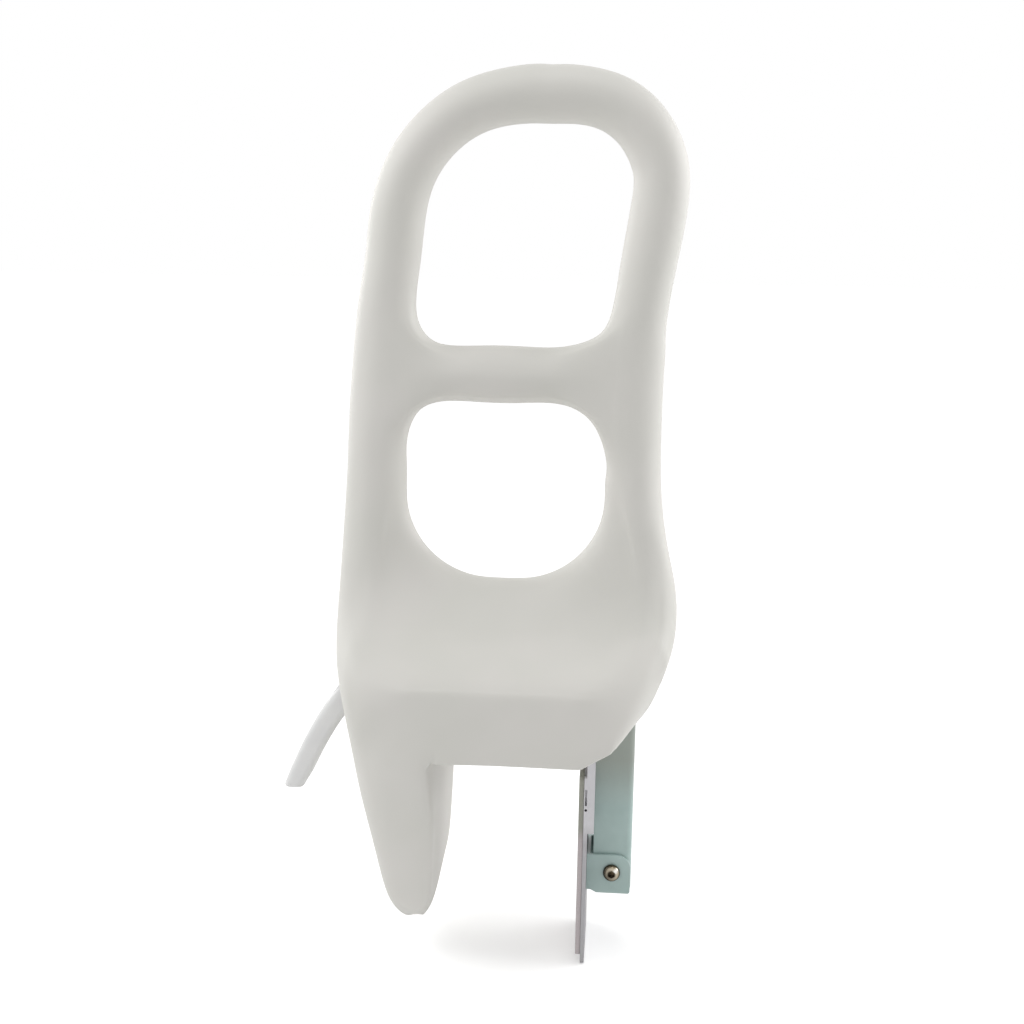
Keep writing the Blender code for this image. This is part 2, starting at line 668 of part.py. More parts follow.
def make_body():
    """The moulded rail: hand loop, base, leg, handle pocket, screw bore and guide cavity."""
    body = add_object("body_shell", rail_cage(), PLASTIC)
    subdivide = body.modifiers.new("smooth", "SUBSURF")
    subdivide.levels = 1
    subdivide.render_levels = 1
    seat_on_surface(body)

    axis = (0.0, 0.0, SCREW_Z)
    cavity_left = GUIDE_LEFT_X - 2 * SHEET
    bm = bmesh.new()
    radius = SEAT_DIAMETER / 2
    reach = SEAT_X - SEAT_WALL - (BASE_LEFT_X - SEAT_DIAMETER)
    dish = [(SEAT_X, radius), (SEAT_X - SEAT_WALL, radius)]
    dish.append((SEAT_X - SEAT_WALL - reach, radius + reach))
    turned(bm, dish, axis, "X", 40)
    combine(body, loose_mesh("cut_handle_pocket", bm), "DIFFERENCE")
    bm = bmesh.new()
    flange = BUSH_FLANGE / 2 + CLEARANCE
    bore = BUSH_OUTER / 2 + CLEARANCE
    depth = BUSH_FLANGE_THICKNESS + CLEARANCE
    stations = [(SEAT_X - depth, flange), (SEAT_X + depth, flange), (SEAT_X + depth, bore)]
    stations += [(cavity_left - depth, bore), (cavity_left - depth, flange)]
    stations.append((cavity_left + SHEET, flange))
    turned(bm, stations, axis, "X")
    combine(body, loose_mesh("cut_screw_bore", bm), "DIFFERENCE")

    bm = bmesh.new()
    side = GUIDE_WIDTH / 2 + CLEARANCE
    slot = SLOT_WIDTH / 2
    below = -2 * SHEET
    box(
        bm,
        (cavity_left, -side, GUIDE_BOTTOM_Z - CLEARANCE),
        (GUIDE_RIGHT_X + GUIDE_END_GAP, side, GUIDE_TOP_Z + CLEARANCE),
    )
    cavity = loose_mesh("cut_guide_cavity", bm)
    bm = bmesh.new()
    box(bm, (SLOT_LEFT_X, -slot, below), (BASE_RIGHT_X + SLOT_WIDTH, slot, SLOT_ROOF_Z))
    combine(cavity, loose_mesh("cut_arm_slot", bm), "UNION")
    for k, x in enumerate(GUIDE_SCREW_XS):
        bm = bmesh.new()
        hole = GUIDE_SCREW_DIAMETER / 2 + CLEARANCE
        top = GUIDE_TOP_Z - SHEET + GUIDE_SCREW_LENGTH + GUIDE_SCREW_END_GAP
        slab(bm, circle(x, 0.0, hole), "Z", GUIDE_TOP_Z - SHEET, top)
        combine(cavity, loose_mesh(f"cut_guide_screw_{k + 1}", bm), "UNION")
    combine(body, cavity, "DIFFERENCE")
    return body


def make_guide():
    """Lipped steel channel that carries the sliding block, and the two screws that hold it up."""
    half = GUIDE_WIDTH / 2
    inner = half - SHEET
    lip = GUIDE_LIP_GAP / 2
    floor = GUIDE_BOTTOM_Z + SHEET
    roof = GUIDE_TOP_Z - SHEET
    outline = [(-lip, GUIDE_BOTTOM_Z), (-half, GUIDE_BOTTOM_Z), (-half, GUIDE_TOP_Z)]
    outline += [(half, GUIDE_TOP_Z), (half, GUIDE_BOTTOM_Z), (lip, GUIDE_BOTTOM_Z)]
    outline += [(lip, floor), (inner, floor), (inner, roof)]
    outline += [(-inner, roof), (-inner, floor), (-lip, floor)]
    bm = bmesh.new()
    slab(bm, outline, "X", GUIDE_LEFT_X, GUIDE_RIGHT_X)
    guide = add_object("guide_channel", bm, STEEL)
    pieces = [guide]
    for k, x in enumerate(GUIDE_SCREW_XS):
        bm = bmesh.new()
        hole = GUIDE_SCREW_DIAMETER / 2 + CLEARANCE
        slab(bm, circle(x, 0.0, hole), "Z", roof - SHEET, GUIDE_TOP_Z + SHEET)
        combine(guide, loose_mesh(f"cut_channel_hole_{k + 1}", bm), "DIFFERENCE")
        pieces.append(make_guide_screw(f"guide_screw_{k + 1}", x, roof))
    return pieces


def make_guide_screw(name, x, seat):
    """Pan-head screw, driven up through the channel's roof."""
    head, height = GUIDE_SCREW_HEAD
    bm = bmesh.new()
    slab(bm, circle(0.0, 0.0, GUIDE_SCREW_DIAMETER / 2), "Z", -height / 2, GUIDE_SCREW_LENGTH)
    screw = add_object(name, bm, STAINLESS)
    bm = bmesh.new()
    slab(bm, circle(0.0, 0.0, head / 2), "Z", -height, -CLEARANCE)
    cap = loose_mesh(f"stock_{name}_head", bm)
    screw.location = (x, 0.0, seat)
    cap.location = screw.location
    combine(screw, cap, "UNION")
    return screw


def make_bushes():
    """Flanged nylon bushes at both ends of the bore, and the thrust washer in the pocket."""
    centre = (0.0, 0.0, SCREW_Z)
    inner = SCREW_DIAMETER / 2 + CLEARANCE
    outer = BUSH_OUTER / 2
    flange = BUSH_FLANGE / 2
    washer_start = SEAT_X - CLEARANCE - WASHER_THICKNESS
    face = SEAT_X
    step = face + BUSH_FLANGE_THICKNESS
    end = face + BUSH_LENGTH
    profile = [(face, inner), (face, flange), (step, flange), (step, outer), (end, outer)]
    profile += [(end, inner), (face, inner)]
    handle_bush = turned_object("handle_bush", profile, centre, "X", NYLON)
    face = GUIDE_LEFT_X - 2 * SHEET
    step = face - BUSH_FLANGE_THICKNESS
    end = face - BUSH_LENGTH
    profile = [(face, inner), (face, flange), (step, flange), (step, outer), (end, outer)]
    profile += [(end, inner), (face, inner)]
    guide_bush = turned_object("guide_bush", profile, centre, "X", NYLON)
    profile = [(washer_start, inner), (washer_start, flange)]
    profile += [(SEAT_X - CLEARANCE, flange), (SEAT_X - CLEARANCE, inner)]
    profile.append(profile[0])
    washer = turned_object("thrust_washer", profile, centre, "X", STAINLESS)
    return [handle_bush, guide_bush, washer]


def make_thread(first, last, steps=10):
    """Two-start V thread along X, its rows lying on the helix."""
    row_pitch = SCREW_LEAD / 4
    crest = SCREW_DIAMETER / 2
    rows = int((last - first) / row_pitch) + 9
    bm = bmesh.new()
    grid = []
    for i in range(rows):
        radius = crest if i % 2 else crest - THREAD_DEPTH
        line = []
        for k in range(steps):
            turn = k / steps
            x = first + (i - 6 + 4 * turn) * row_pitch
            angle = 2 * math.pi * turn
            line.append(bm.verts.new((x, radius * math.cos(angle), radius * math.sin(angle))))
        grid.append(line)
    for i in range(rows - 1):
        for k in range(steps - 1):
            bm.faces.new((grid[i][k], grid[i][k + 1], grid[i + 1][k + 1], grid[i + 1][k]))
    # Where the turn closes, each row meets the one four rows on
    for i in range(rows - 5):
        bm.faces.new((grid[i][-1], grid[i + 4][0], grid[i + 5][0], grid[i + 1][-1]))
    for end in (first - 9 * row_pitch, last + 9 * row_pitch):
        rim = [e for e in bm.edges if e.is_boundary]
        near = [e for e in rim if abs(e.verts[0].co.x - end) < (last - first) / 2]
        tip = bm.verts.new((end, 0.0, 0.0))
        for edge in near:
            bm.faces.new((edge.verts[0], edge.verts[1], tip))
    return bm


def make_screw():
    """Lead screw with its two-start thread, and the collar that keeps it from moving endways."""
    centre = (0.0, 0.0, SCREW_Z)
    radius = SCREW_DIAMETER / 2
    hub_left = hub_right() - HUB_LENGTH
    collar_left = GUIDE_LEFT_X - 2 * SHEET + CLEARANCE
    thread_left = collar_left + COLLAR_WIDTH
    thread_right = GUIDE_RIGHT_X - SCREW_END_GAP
    chamfer = SCREW_CHAMFER
    profile = [(hub_left + chamfer, radius - chamfer), (hub_left + 2 * chamfer, radius)]
    profile.append((thread_left, radius))
    screw = turned_object("lead_screw", profile, centre, "X", STAINLESS, 20)
    threads = loose_mesh("stock_thread", make_thread(thread_left, thread_right))
    threads.location = centre
    bm = bmesh.new()
    trim = [(thread_left - chamfer, radius - chamfer), (thread_left + chamfer, radius * 1.2)]
    trim += [(thread_right - 2 * chamfer, radius * 1.2), (thread_right, radius * 0.6)]
    turned(bm, trim, centre, "X", 20)
    combine(threads, loose_mesh("stock_thread_trim", bm), "INTERSECT")
    combine(screw, threads, "UNION")

    inner = radius + CLEARANCE
    outer = COLLAR_DIAMETER / 2
    right = collar_left + COLLAR_WIDTH - CLEARANCE
    profile = [(collar_left, inner), (collar_left, outer), (right, outer), (right, inner)]
    profile.append(profile[0])
    collar = turned_object("screw_collar", profile, centre, "X", STEEL)
    return [screw, collar]


def hub_right():
    """The handle hub's inner face, just clear of the thrust washer."""
    return SEAT_X - WASHER_THICKNESS - 2 * CLEARANCE


def lever_line(steps=3):
    """Points and directions along the lever's middle line, a smooth curve through LEVER_PATH."""
    last = len(LEVER_PATH) - 1
    line = []
    for i in range(last):
        p0, p1, p2, p3 = (np.array(LEVER_PATH[min(max(i + j, 0), last)]) for j in (-1, 0, 1, 2))
        for k in range(steps):
            t = k / steps
            bend = 2 * p0 - 5 * p1 + 4 * p2 - p3
            twist = 3 * p1 - p0 - 3 * p2 + p3
            line.append((2 * p1 + (p2 - p0) * t + bend * t**2 + twist * t**3) / 2)
    line.append(np.array(LEVER_PATH[last]))
    ways = []
    level = np.array((0.0, 1.0))
    bend, end = LEVER_PATH[-2][1], LEVER_PATH[-1][1]
    for i in range(len(line)):
        way = line[min(i + 1, len(line) - 1)] - line[max(i - 1, 0)]
        way = way / np.linalg.norm(way)
        # Over the last stretch the sections turn until the tip is cut level
        share = max((line[i][1] - bend) / (end - bend), 0.0)
        ways.append(way + (level - way) * share)
    return line, ways


def rounded_section(width, thickness, radius, steps=2):
    """Rounded rectangle about the middle, as (across, through) pairs."""
    points = []
    for k, (sx, sy) in enumerate(((1, 1), (-1, 1), (-1, -1), (1, -1))):
        for j in range(steps + 1):
            angle = math.pi / 2 * (k + j / steps)
            across = sx * (width / 2 - radius) + radius * math.cos(angle)
            through = sy * (thickness / 2 - radius) + radius * math.sin(angle)
            points.append((across, through))
    return points


def lever_mesh():
    """The lever's bar: rounded sections set square to the middle line, narrowing to a rounded tip."""
    line, ways = lever_line()
    far = LEVER_PATH[-1][1]
    bm = bmesh.new()
    rings = []
    for i, (point, way) in enumerate(zip(line, ways)):
        share = point[1] / far
        width = LEVER_WIDTH + (LEVER_TIP_WIDTH - LEVER_WIDTH) * share
        thick = LEVER_THICKNESS + (LEVER_TIP_THICKNESS - LEVER_THICKNESS) * share
        rings.append((point, way, width, thick, LEVER_EDGE_RADIUS))
    point, way, width, thick, _ = rings[-1]
    for forward, shrink in LEVER_TIP_STEPS:
        section = (width - 2 * shrink, thick - 2 * shrink, LEVER_EDGE_RADIUS - shrink)
        rings.append((point + way * forward, way, *section))
    loops = []
    for point, way, width, thick, radius in rings:
        loop = []
        for across, through in rounded_section(width, thick, radius):
            x = point[0] + way[1] * through
            drop = point[1] - way[0] * through
            loop.append(bm.verts.new((min(x, hub_right()), across, -drop)))
        loops.append(loop)
    for one, two in zip(loops, loops[1:]):
        for k in range(len(one)):
            after = (k + 1) % len(one)
            bm.faces.new((one[k], one[after], two[after], two[k]))
    bm.faces.new(loops[0])
    bm.faces.new(loops[-1])
    return bm


def make_handle():
    """Cranked lever with its hub, the cross pin through the hub, and the cap on its end."""
    centre = (0.0, 0.0, SCREW_Z)
    right = hub_right()
    left = right - HUB_LENGTH
    radius = HUB_DIAMETER / 2
    lever = add_object("handle_lever", lever_mesh(), PLASTIC)
    lever.location = centre
    bm = bmesh.new()
    profile = [(left, radius - HUB_CHAMFER), (left + HUB_CHAMFER, radius), (right, radius)]
    turned(bm, profile, (0, 0, 0), "X", 28)
    hub = loose_mesh("stock_hub", bm)
    hub.location = centre
    combine(lever, hub, "UNION")
    bm = bmesh.new()
    bore = SCREW_DIAMETER / 2 + CLEARANCE
    turned(bm, [(left - 2 * HUB_DIAMETER, bore), (right + HUB_LENGTH, bore)], (0, 0, 0), "X")
    cut = loose_mesh("cut_hub_bore", bm)
    cut.location = centre
    middle = (left + right) / 2
    pin_centre = (middle, 0.0, SCREW_Z)
    bm = bmesh.new()
    hole = PIN_DIAMETER / 2 + CLEARANCE
    turned(bm, [(-HUB_DIAMETER, hole), (HUB_DIAMETER, hole)], (0, 0, 0), "Y", 16)
    pin_cut = loose_mesh("cut_pin_hole", bm)
    pin_cut.location = pin_centre
    combine(cut, pin_cut, "UNION")
    bm = bmesh.new()
    cap_radius = CAP_DIAMETER / 2 + CLEARANCE
    turned(bm, [(left - HUB_DIAMETER, cap_radius), (left, cap_radius)], (0, 0, 0), "X")
    cap_cut = loose_mesh("cut_cap_seat", bm)
    cap_cut.location = centre
    combine(cut, cap_cut, "UNION")
    combine(lever, cut, "DIFFERENCE")
    reach = radius - PIN_SETBACK
    profile = [(-reach, PIN_DIAMETER / 2), (reach, PIN_DIAMETER / 2)]
    pin = turned_object("handle_pin", profile, pin_centre, "Y", STAINLESS, 16)
    cap_face = left - CLEARANCE
    rim = CAP_DIAMETER / 2
    profile = [(cap_face, rim), (cap_face - CAP_CHAMFER, rim)]
    profile.append((cap_face - CAP_THICKNESS, rim - CAP_CHAMFER))
    cap = turned_object("hub_cap", profile, centre, "X", PLASTIC)
    return [lever, pin, cap], pin_cut


def make_block():
    """Sliding nut block with its tongue, and the rivets that hold the arm to the tongue."""
    side = GUIDE_WIDTH / 2 - SHEET - BLOCK_PLAY
    top = GUIDE_TOP_Z - SHEET - BLOCK_PLAY
    bottom = GUIDE_BOTTOM_Z + SHEET + BLOCK_PLAY
    right = BLOCK_LEFT_X + BLOCK_LENGTH
    bm = bmesh.new()
    box(bm, (BLOCK_LEFT_X, -side, bottom), (right, side, top))
    block = add_object("nut_block", bm, ACETAL)
    neck = ARM_WIDTH / 2 - ARM_SHEET - CLEARANCE
    bm = bmesh.new()
    box(bm, (ARM_LEFT_X, -neck, -TONGUE_DROP), (right, neck, bottom + SHEET))
    combine(block, loose_mesh("stock_block_tongue", bm), "UNION")
    bm = bmesh.new()
    bore = SCREW_DIAMETER / 2 + CLEARANCE
    turned(bm, [(0.0, bore), (BASE_RIGHT_X, bore)], (0.0, 0.0, SCREW_Z), "X")
    combine(block, loose_mesh("cut_block_bore", bm), "DIFFERENCE")
    bm = bmesh.new()
    head, height = GUIDE_SCREW_HEAD
    groove = head / 2 + BLOCK_GROOVE_GAP
    floor = top + BLOCK_PLAY - height - BLOCK_GROOVE_GAP
    box(bm, (0.0, -groove, floor), (BASE_RIGHT_X, groove, top + height))
    combine(block, loose_mesh("cut_block_groove", bm), "DIFFERENCE")
    pieces = [block]
    for k, (x, z) in enumerate(RIVET_PLACES):
        bm = bmesh.new()
        hole = RIVET_DIAMETER / 2 + CLEARANCE
        turned(bm, [(-ARM_WIDTH, hole), (ARM_WIDTH, hole)], (x, 0.0, z), "Y", 16)
        combine(block, loose_mesh(f"cut_rivet_hole_{k + 1}", bm), "DIFFERENCE")
        shank = RIVET_DIAMETER / 2
        seat = ARM_WIDTH / 2 + CLEARANCE
        width, height, rim = RIVET_HEAD
        head = [(seat, width / 2), (seat + rim, width / 2), (seat + height, width * 0.3)]
        profile = [(-place, radius) for place, radius in head[::-1]]
        profile += [(-seat, shank), (seat, shank)] + head
        pieces.append(turned_object(f"arm_rivet_{k + 1}", profile, (x, 0.0, z), "Y", STAINLESS, 16))
    return pieces


def make_arm():
    """Folded steel channel arm that hangs from the block, open towards the bath wall."""
    end_radius = PIVOT_X - ARM_LEFT_X
    bottom = PIVOT_Z - end_radius
    half = ARM_WIDTH / 2
    outline = rounded_outline(
        [
            (ARM_LEFT_X, ARM_TOP_Z, 0),
            (ARM_LEFT_X, bottom, end_radius * 0.98),
            (ARM_RIGHT_X, bottom, 0),
            (ARM_RIGHT_X, ARM_TOP_Z, 0),
        ],
        8,
    )
    bm = bmesh.new()
    slab(bm, outline, "Y", -half, half)
    folds = [
        e
        for e in bm.edges
        if all(v.co.x > ARM_RIGHT_X - CLEARANCE for v in e.verts)
        and abs(e.verts[0].co.z - e.verts[1].co.z) > ARM_WIDTH
    ]
    bmesh.ops.bevel(
        bm, geom=folds, offset=ARM_FOLD_RADIUS, segments=4, affect="EDGES", profile=0.5
    )
    arm = add_object("clamp_arm", bm, ENAMEL)
    bm = bmesh.new()
    inner = half - ARM_SHEET
    web = ARM_RIGHT_X - ARM_SHEET
    over = ARM_FOLD_RADIUS
    box(bm, (ARM_LEFT_X - over, -inner, bottom - over), (web, inner, ARM_TOP_Z + over))
    inside = [e for e in bm.edges if all(v.co.x > web - CLEARANCE for v in e.verts)]
    inside = [e for e in inside if abs(e.verts[0].co.z - e.verts[1].co.z) > ARM_WIDTH]
    bmesh.ops.bevel(
        bm, geom=inside, offset=ARM_FOLD_RADIUS - ARM_SHEET, segments=3, affect="EDGES", profile=0.5
    )
    combine(arm, loose_mesh("cut_arm_inside", bm), "DIFFERENCE")
    holes = [(x, z, RIVET_DIAMETER / 2) for x, z in RIVET_PLACES]
    holes.append((PIVOT_X, PIVOT_Z, BOLT_DIAMETER / 2))
    for k, (x, z, radius) in enumerate(holes):
        bm = bmesh.new()
        bore = radius + CLEARANCE
        turned(bm, [(-ARM_WIDTH, bore), (ARM_WIDTH, bore)], (x, 0.0, z), "Y", 16)
        combine(arm, loose_mesh(f"cut_arm_hole_{k + 1}", bm), "DIFFERENCE")
    return arm


def make_plate():
    """Clamp plate with its folded side flanges, the rubber pad on its face and the studs in the pad."""
    front = PAD_FACE_X + PAD_THICKNESS + CLEARANCE
    back = front + PLATE_THICKNESS
    plate = plate_outline("clamp_plate", 0.0, PLATE_BOTTOM_Z, front, back, ZINC)
    half = PLATE_WIDTH / 2
    for side in (-1, 1):
        bm = bmesh.new()
        near, far = sorted((side * (half - FLANGE_SHEET), side * half))
        top = PLATE_TOP_Z - PLATE_CORNER
        drawn = [(front, top, 0), (front, FLANGE_BOTTOM_Z, 0)]
        drawn.append((FLANGE_RIGHT_X, FLANGE_BOTTOM_Z, FLANGE_CORNER))
        drawn.append((FLANGE_RIGHT_X, FLANGE_TOP_Z, FLANGE_CORNER))
        drawn += [(FLANGE_EAR_X, FLANGE_TOP_Z, FLANGE_CORNER), (FLANGE_EAR_X, top, 0)]
        slab(bm, rounded_outline(drawn, 2), "Y", near, far)
        combine(plate, loose_mesh(f"stock_flange_{side + 2}", bm), "UNION")
    width, height = FLANGE_SLOT
    bm = bmesh.new()
    middle = (front + back) / 2
    low = (middle - width / 2, -PLATE_WIDTH, FLANGE_SLOT_TOP_Z - height)
    box(bm, low, (middle + width / 2, PLATE_WIDTH, FLANGE_SLOT_TOP_Z))
    slot = loose_mesh("cut_flange_slot", bm)
    bm = bmesh.new()
    radius = FLANGE_HOLE_DIAMETER / 2
    centre = (middle, 0.0, FLANGE_HOLE_Z)
    turned(bm, [(-PLATE_WIDTH, radius), (PLATE_WIDTH, radius)], centre, "Y", 10)
    hole = loose_mesh("cut_flange_hole", bm)
    for tool in (slot, hole):
        keep = loose_mesh(f"keep_{tool.name}", fold_regions())
        combine(tool, keep, "INTERSECT")
        combine(plate, tool, "DIFFERENCE")

    pad_back = PAD_FACE_X + PAD_THICKNESS
    pad = plate_outline("plate_pad", PAD_INSET, PAD_BOTTOM_Z, PAD_FACE_X, pad_back, RUBBER)
    pieces = [plate, pad]
    shank = STUD_DIAMETER / 2
    head = STUD_HEAD_DIAMETER / 2
    sunk = PAD_FACE_X + STUD_SUNK
    seat = sunk + STUD_HEAD_HEIGHT
    for k, z in enumerate(STUD_ZS):
        centre = (0.0, 0.0, z)
        bore = shank + CLEARANCE
        rim = head + CLEARANCE
        floor = seat + CLEARANCE
        profile = [(sunk - STUD_DIAMETER, rim), (floor, rim), (floor, bore), (back + head, bore)]
        bm = bmesh.new()
        turned(bm, profile, centre, "X", 16)
        tool = loose_mesh(f"cut_stud_hole_{k + 1}", bm)
        combine(plate, tool, "DIFFERENCE")
        combine(pad, tool, "DIFFERENCE")
        end = back - CLEARANCE
        profile = [(sunk, head), (seat, head), (seat, shank), (end, shank)]
        pieces.append(turned_object(f"pad_stud_{k + 1}", profile, centre, "X", NYLON, 16))
    return pieces


def plate_outline(name, inset, bottom, first, last, material):
    """The plate's rounded rectangle, or the pad's a little inside it, between two X places."""
    half = PLATE_WIDTH / 2 - inset
    top = PLATE_TOP_Z - inset
    corners = [(-half, top), (-half, bottom), (half, bottom), (half, top)]
    bm = bmesh.new()
    slab(bm, rounded_outline([(y, z, PLATE_CORNER) for y, z in corners]), "X", first, last)
    return add_object(name, bm, material)


def fold_regions():
    """The regions along the plate's two folds, so that cuts there leave its middle whole."""
    bm = bmesh.new()
    half = PLATE_WIDTH / 2
    inner = half - FLANGE_SLOT_DEPTH
    for low, high in ((-half - FLANGE_SHEET, -inner), (inner, half + FLANGE_SHEET)):
        box(bm, (PAD_FACE_X, low, FLANGE_BOTTOM_Z), (FLANGE_RIGHT_X + FLANGE_SHEET, high, PLATE_TOP_Z))
    return bm


def make_bracket():
    """U bracket that straddles the arm, its web against the plate's back."""
    left = PAD_FACE_X + PAD_THICKNESS + PLATE_THICKNESS + 2 * CLEARANCE
    outer = ARM_WIDTH / 2 + CLEARANCE + BRACKET_SHEET
    along, up = BRACKET_STEP
    bm = bmesh.new()
    drawn = [
        (left, BRACKET_TOP_Z, 0),
        (left, BRACKET_BOTTOM_Z + up, 0),
        (left + along - 2 * up, BRACKET_BOTTOM_Z + up, 0),
        (left + along, BRACKET_BOTTOM_Z, 0),
        (BRACKET_RIGHT_X, BRACKET_BOTTOM_Z, BRACKET_LOW_CORNER),
        (BRACKET_RIGHT_X, BRACKET_TOP_Z, BRACKET_TOP_CORNER),
    ]
    slab(bm, rounded_outline(drawn), "Y", -outer, outer)
    bracket = add_object("plate_bracket", bm, ENAMEL)
    inner = outer - BRACKET_SHEET
    web = left + BRACKET_SHEET
    bm = bmesh.new()
    low = (web, -inner, BRACKET_BOTTOM_Z - BRACKET_SHEET)
    box(bm, low, (BRACKET_RIGHT_X + BRACKET_SHEET, inner, BRACKET_TOP_Z + BRACKET_SHEET))
    combine(bracket, loose_mesh("cut_bracket_inside", bm), "DIFFERENCE")
    bm = bmesh.new()
    hole = BOLT_DIAMETER / 2 + CLEARANCE
    ends = [(-ARM_WIDTH, hole), (ARM_WIDTH, hole)]
    turned(bm, ends, (PIVOT_X, 0.0, PIVOT_Z), "Y", 16)
    combine(bracket, loose_mesh("cut_bracket_holes", bm), "DIFFERENCE")
    return bracket


def make_pivot():
    """Button-head bolt through the bracket and the arm, with its spacer, washer and nut."""
    centre = (PIVOT_X, 0.0, PIVOT_Z)
    shank = BOLT_DIAMETER / 2
    seat = ARM_WIDTH / 2 + CLEARANCE + BRACKET_SHEET + CLEARANCE
    washer_end = seat + WASHER_THICKNESS
    nut_start = washer_end + CLEARANCE
    nut_end = nut_start + NUT_HEIGHT
    bolt_end = nut_end + BOLT_END
    head = BOLT_HEAD_DIAMETER / 2
    height = BOLT_HEAD_HEIGHT
    socket = shank * 0.62
    dome = [(0.36, socket), (1.0, socket), (1.0, head * 0.55), (0.82, head * 0.78)]
    dome += [(0.48, head * 0.95), (0.12, head), (0.0, head)]
    profile = [(-seat - height * share, radius) for share, radius in dome]
    profile += [(-seat, shank), (bolt_end - BOLT_CHAMFER, shank)]
    profile.append((bolt_end, shank - BOLT_CHAMFER))
    bolt = turned_object("pivot_bolt", profile, centre, "Y", STAINLESS)
    inner = shank + CLEARANCE
    outer = SPACER_DIAMETER / 2
    reach = ARM_WIDTH / 2 - ARM_SHEET - CLEARANCE
    profile = [(-reach, inner), (-reach, outer), (reach, outer), (reach, inner), (-reach, inner)]
    spacer = turned_object("pivot_spacer", profile, centre, "Y", STEEL)
    outer = NUT_WASHER_DIAMETER / 2
    profile = [(seat, inner), (seat, outer), (washer_end, outer), (washer_end, inner), (seat, inner)]
    washer = turned_object("pivot_washer", profile, centre, "Y", STAINLESS)
    bm = bmesh.new()
    corner = NUT_ACROSS / math.sqrt(3)
    slab(bm, circle(0.0, 0.0, corner, 6), "Y", nut_start, nut_end)
    nut = add_object("pivot_nut", bm, STAINLESS)
    nut.location = centre
    bm = bmesh.new()
    turned(bm, [(0.0, inner), (nut_end + NUT_HEIGHT, inner)], (0, 0, 0), "Y", 16)
    bore = loose_mesh("cut_nut_bore", bm)
    bore.location = centre
    combine(nut, bore, "DIFFERENCE")
    return [bolt, spacer, washer, nut]


clear_scene()
PLASTIC = finish("moulded_plastic", "#cfcec9", 0.55)
NYLON = finish("nylon", "#d8d6cc", 0.45)
ACETAL = finish("black_acetal", "#26282a", 0.40)
STEEL = finish("plated_steel", "#9ea3a6", 0.38, 0.9)
STAINLESS = finish("stainless_steel", "#b4b4b2", 0.28, 1.0)
ZINC = finish("zinc_plate", "#a6a6a8", 0.40, 0.8)
ENAMEL = finish("green_enamel", "#93a29b", 0.40)
RUBBER = finish("pad_rubber", "#a49d9e", 0.80)

make_body()
make_guide()
make_bushes()
handle_axis = pivot_empty("handle_axis", (0.0, 0.0, SCREW_Z))
clamp_travel = pivot_empty("clamp_travel", (BLOCK_LEFT_X, 0.0, SCREW_Z))
plate_pivot = pivot_empty("plate_pivot", (PIVOT_X, 0.0, PIVOT_Z))
screw_pieces = make_screw()
handle_pieces, pin_hole = make_handle()
combine(screw_pieces[0], pin_hole, "DIFFERENCE")
carry(handle_axis, *screw_pieces, *handle_pieces)
carry(clamp_travel, *make_block(), make_arm(), *make_pivot())
carry(plate_pivot, *make_plate(), make_bracket())
carry(clamp_travel, plate_pivot)
bpy.context.view_layer.update()
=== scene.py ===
import math

import bmesh
import bpy
import numpy as np
from mathutils import Matrix, Vector


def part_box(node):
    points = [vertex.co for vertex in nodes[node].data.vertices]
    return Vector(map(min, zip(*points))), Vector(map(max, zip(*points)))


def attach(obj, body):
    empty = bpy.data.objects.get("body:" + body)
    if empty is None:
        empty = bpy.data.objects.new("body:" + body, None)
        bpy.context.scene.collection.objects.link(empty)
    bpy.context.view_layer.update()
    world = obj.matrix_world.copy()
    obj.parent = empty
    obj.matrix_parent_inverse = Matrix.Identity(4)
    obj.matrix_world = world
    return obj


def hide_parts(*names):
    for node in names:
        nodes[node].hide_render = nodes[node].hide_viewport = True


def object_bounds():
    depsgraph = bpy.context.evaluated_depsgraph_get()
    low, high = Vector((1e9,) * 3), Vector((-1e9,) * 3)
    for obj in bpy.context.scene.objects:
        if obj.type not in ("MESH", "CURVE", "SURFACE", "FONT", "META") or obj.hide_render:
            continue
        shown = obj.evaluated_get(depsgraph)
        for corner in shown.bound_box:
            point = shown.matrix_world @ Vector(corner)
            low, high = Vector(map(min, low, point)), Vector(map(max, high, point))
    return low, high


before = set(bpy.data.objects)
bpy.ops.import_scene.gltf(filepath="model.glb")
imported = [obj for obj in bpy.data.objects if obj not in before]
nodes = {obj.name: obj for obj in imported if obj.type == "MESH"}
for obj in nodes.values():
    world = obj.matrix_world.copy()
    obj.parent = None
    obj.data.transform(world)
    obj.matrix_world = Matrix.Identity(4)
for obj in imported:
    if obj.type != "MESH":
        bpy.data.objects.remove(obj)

cad_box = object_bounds()

# Studio
# A white sweep with the rail standing on it, in a pale room with a soft box at each side, one above
# and two behind, so that edges come out light and faces to the front a little darker. The camera
# stands about where the photograph seems to be taken from, and leans one degree.


def srgb(code):
    """Linear colour from an sRGB hex value."""
    parts = [int(code[i : i + 2], 16) / 255 for i in (1, 3, 5)]
    linear = [c / 12.92 if c <= 0.04045 else ((c + 0.055) / 1.055) ** 2.4 for c in parts]
    return (*linear, 1.0)


def add_node(tree, kind, settings=None, **sockets):
    """Add a node; a socket value that is (node, output) is linked, and any other is set."""
    node = tree.nodes.new("ShaderNode" + kind)
    for name, value in (settings or {}).items():
        setattr(node, name, value)
    for name, value in sockets.items():
        if name.startswith("at_"):
            socket = node.inputs[int(name[3:])]
        else:
            socket = node.inputs[name.replace("_", " ")]
        if isinstance(value, tuple) and isinstance(value[0], bpy.types.Node):
            tree.links.new(value[0].outputs[value[1]], socket)
        else:
            socket.default_value = value
    return node


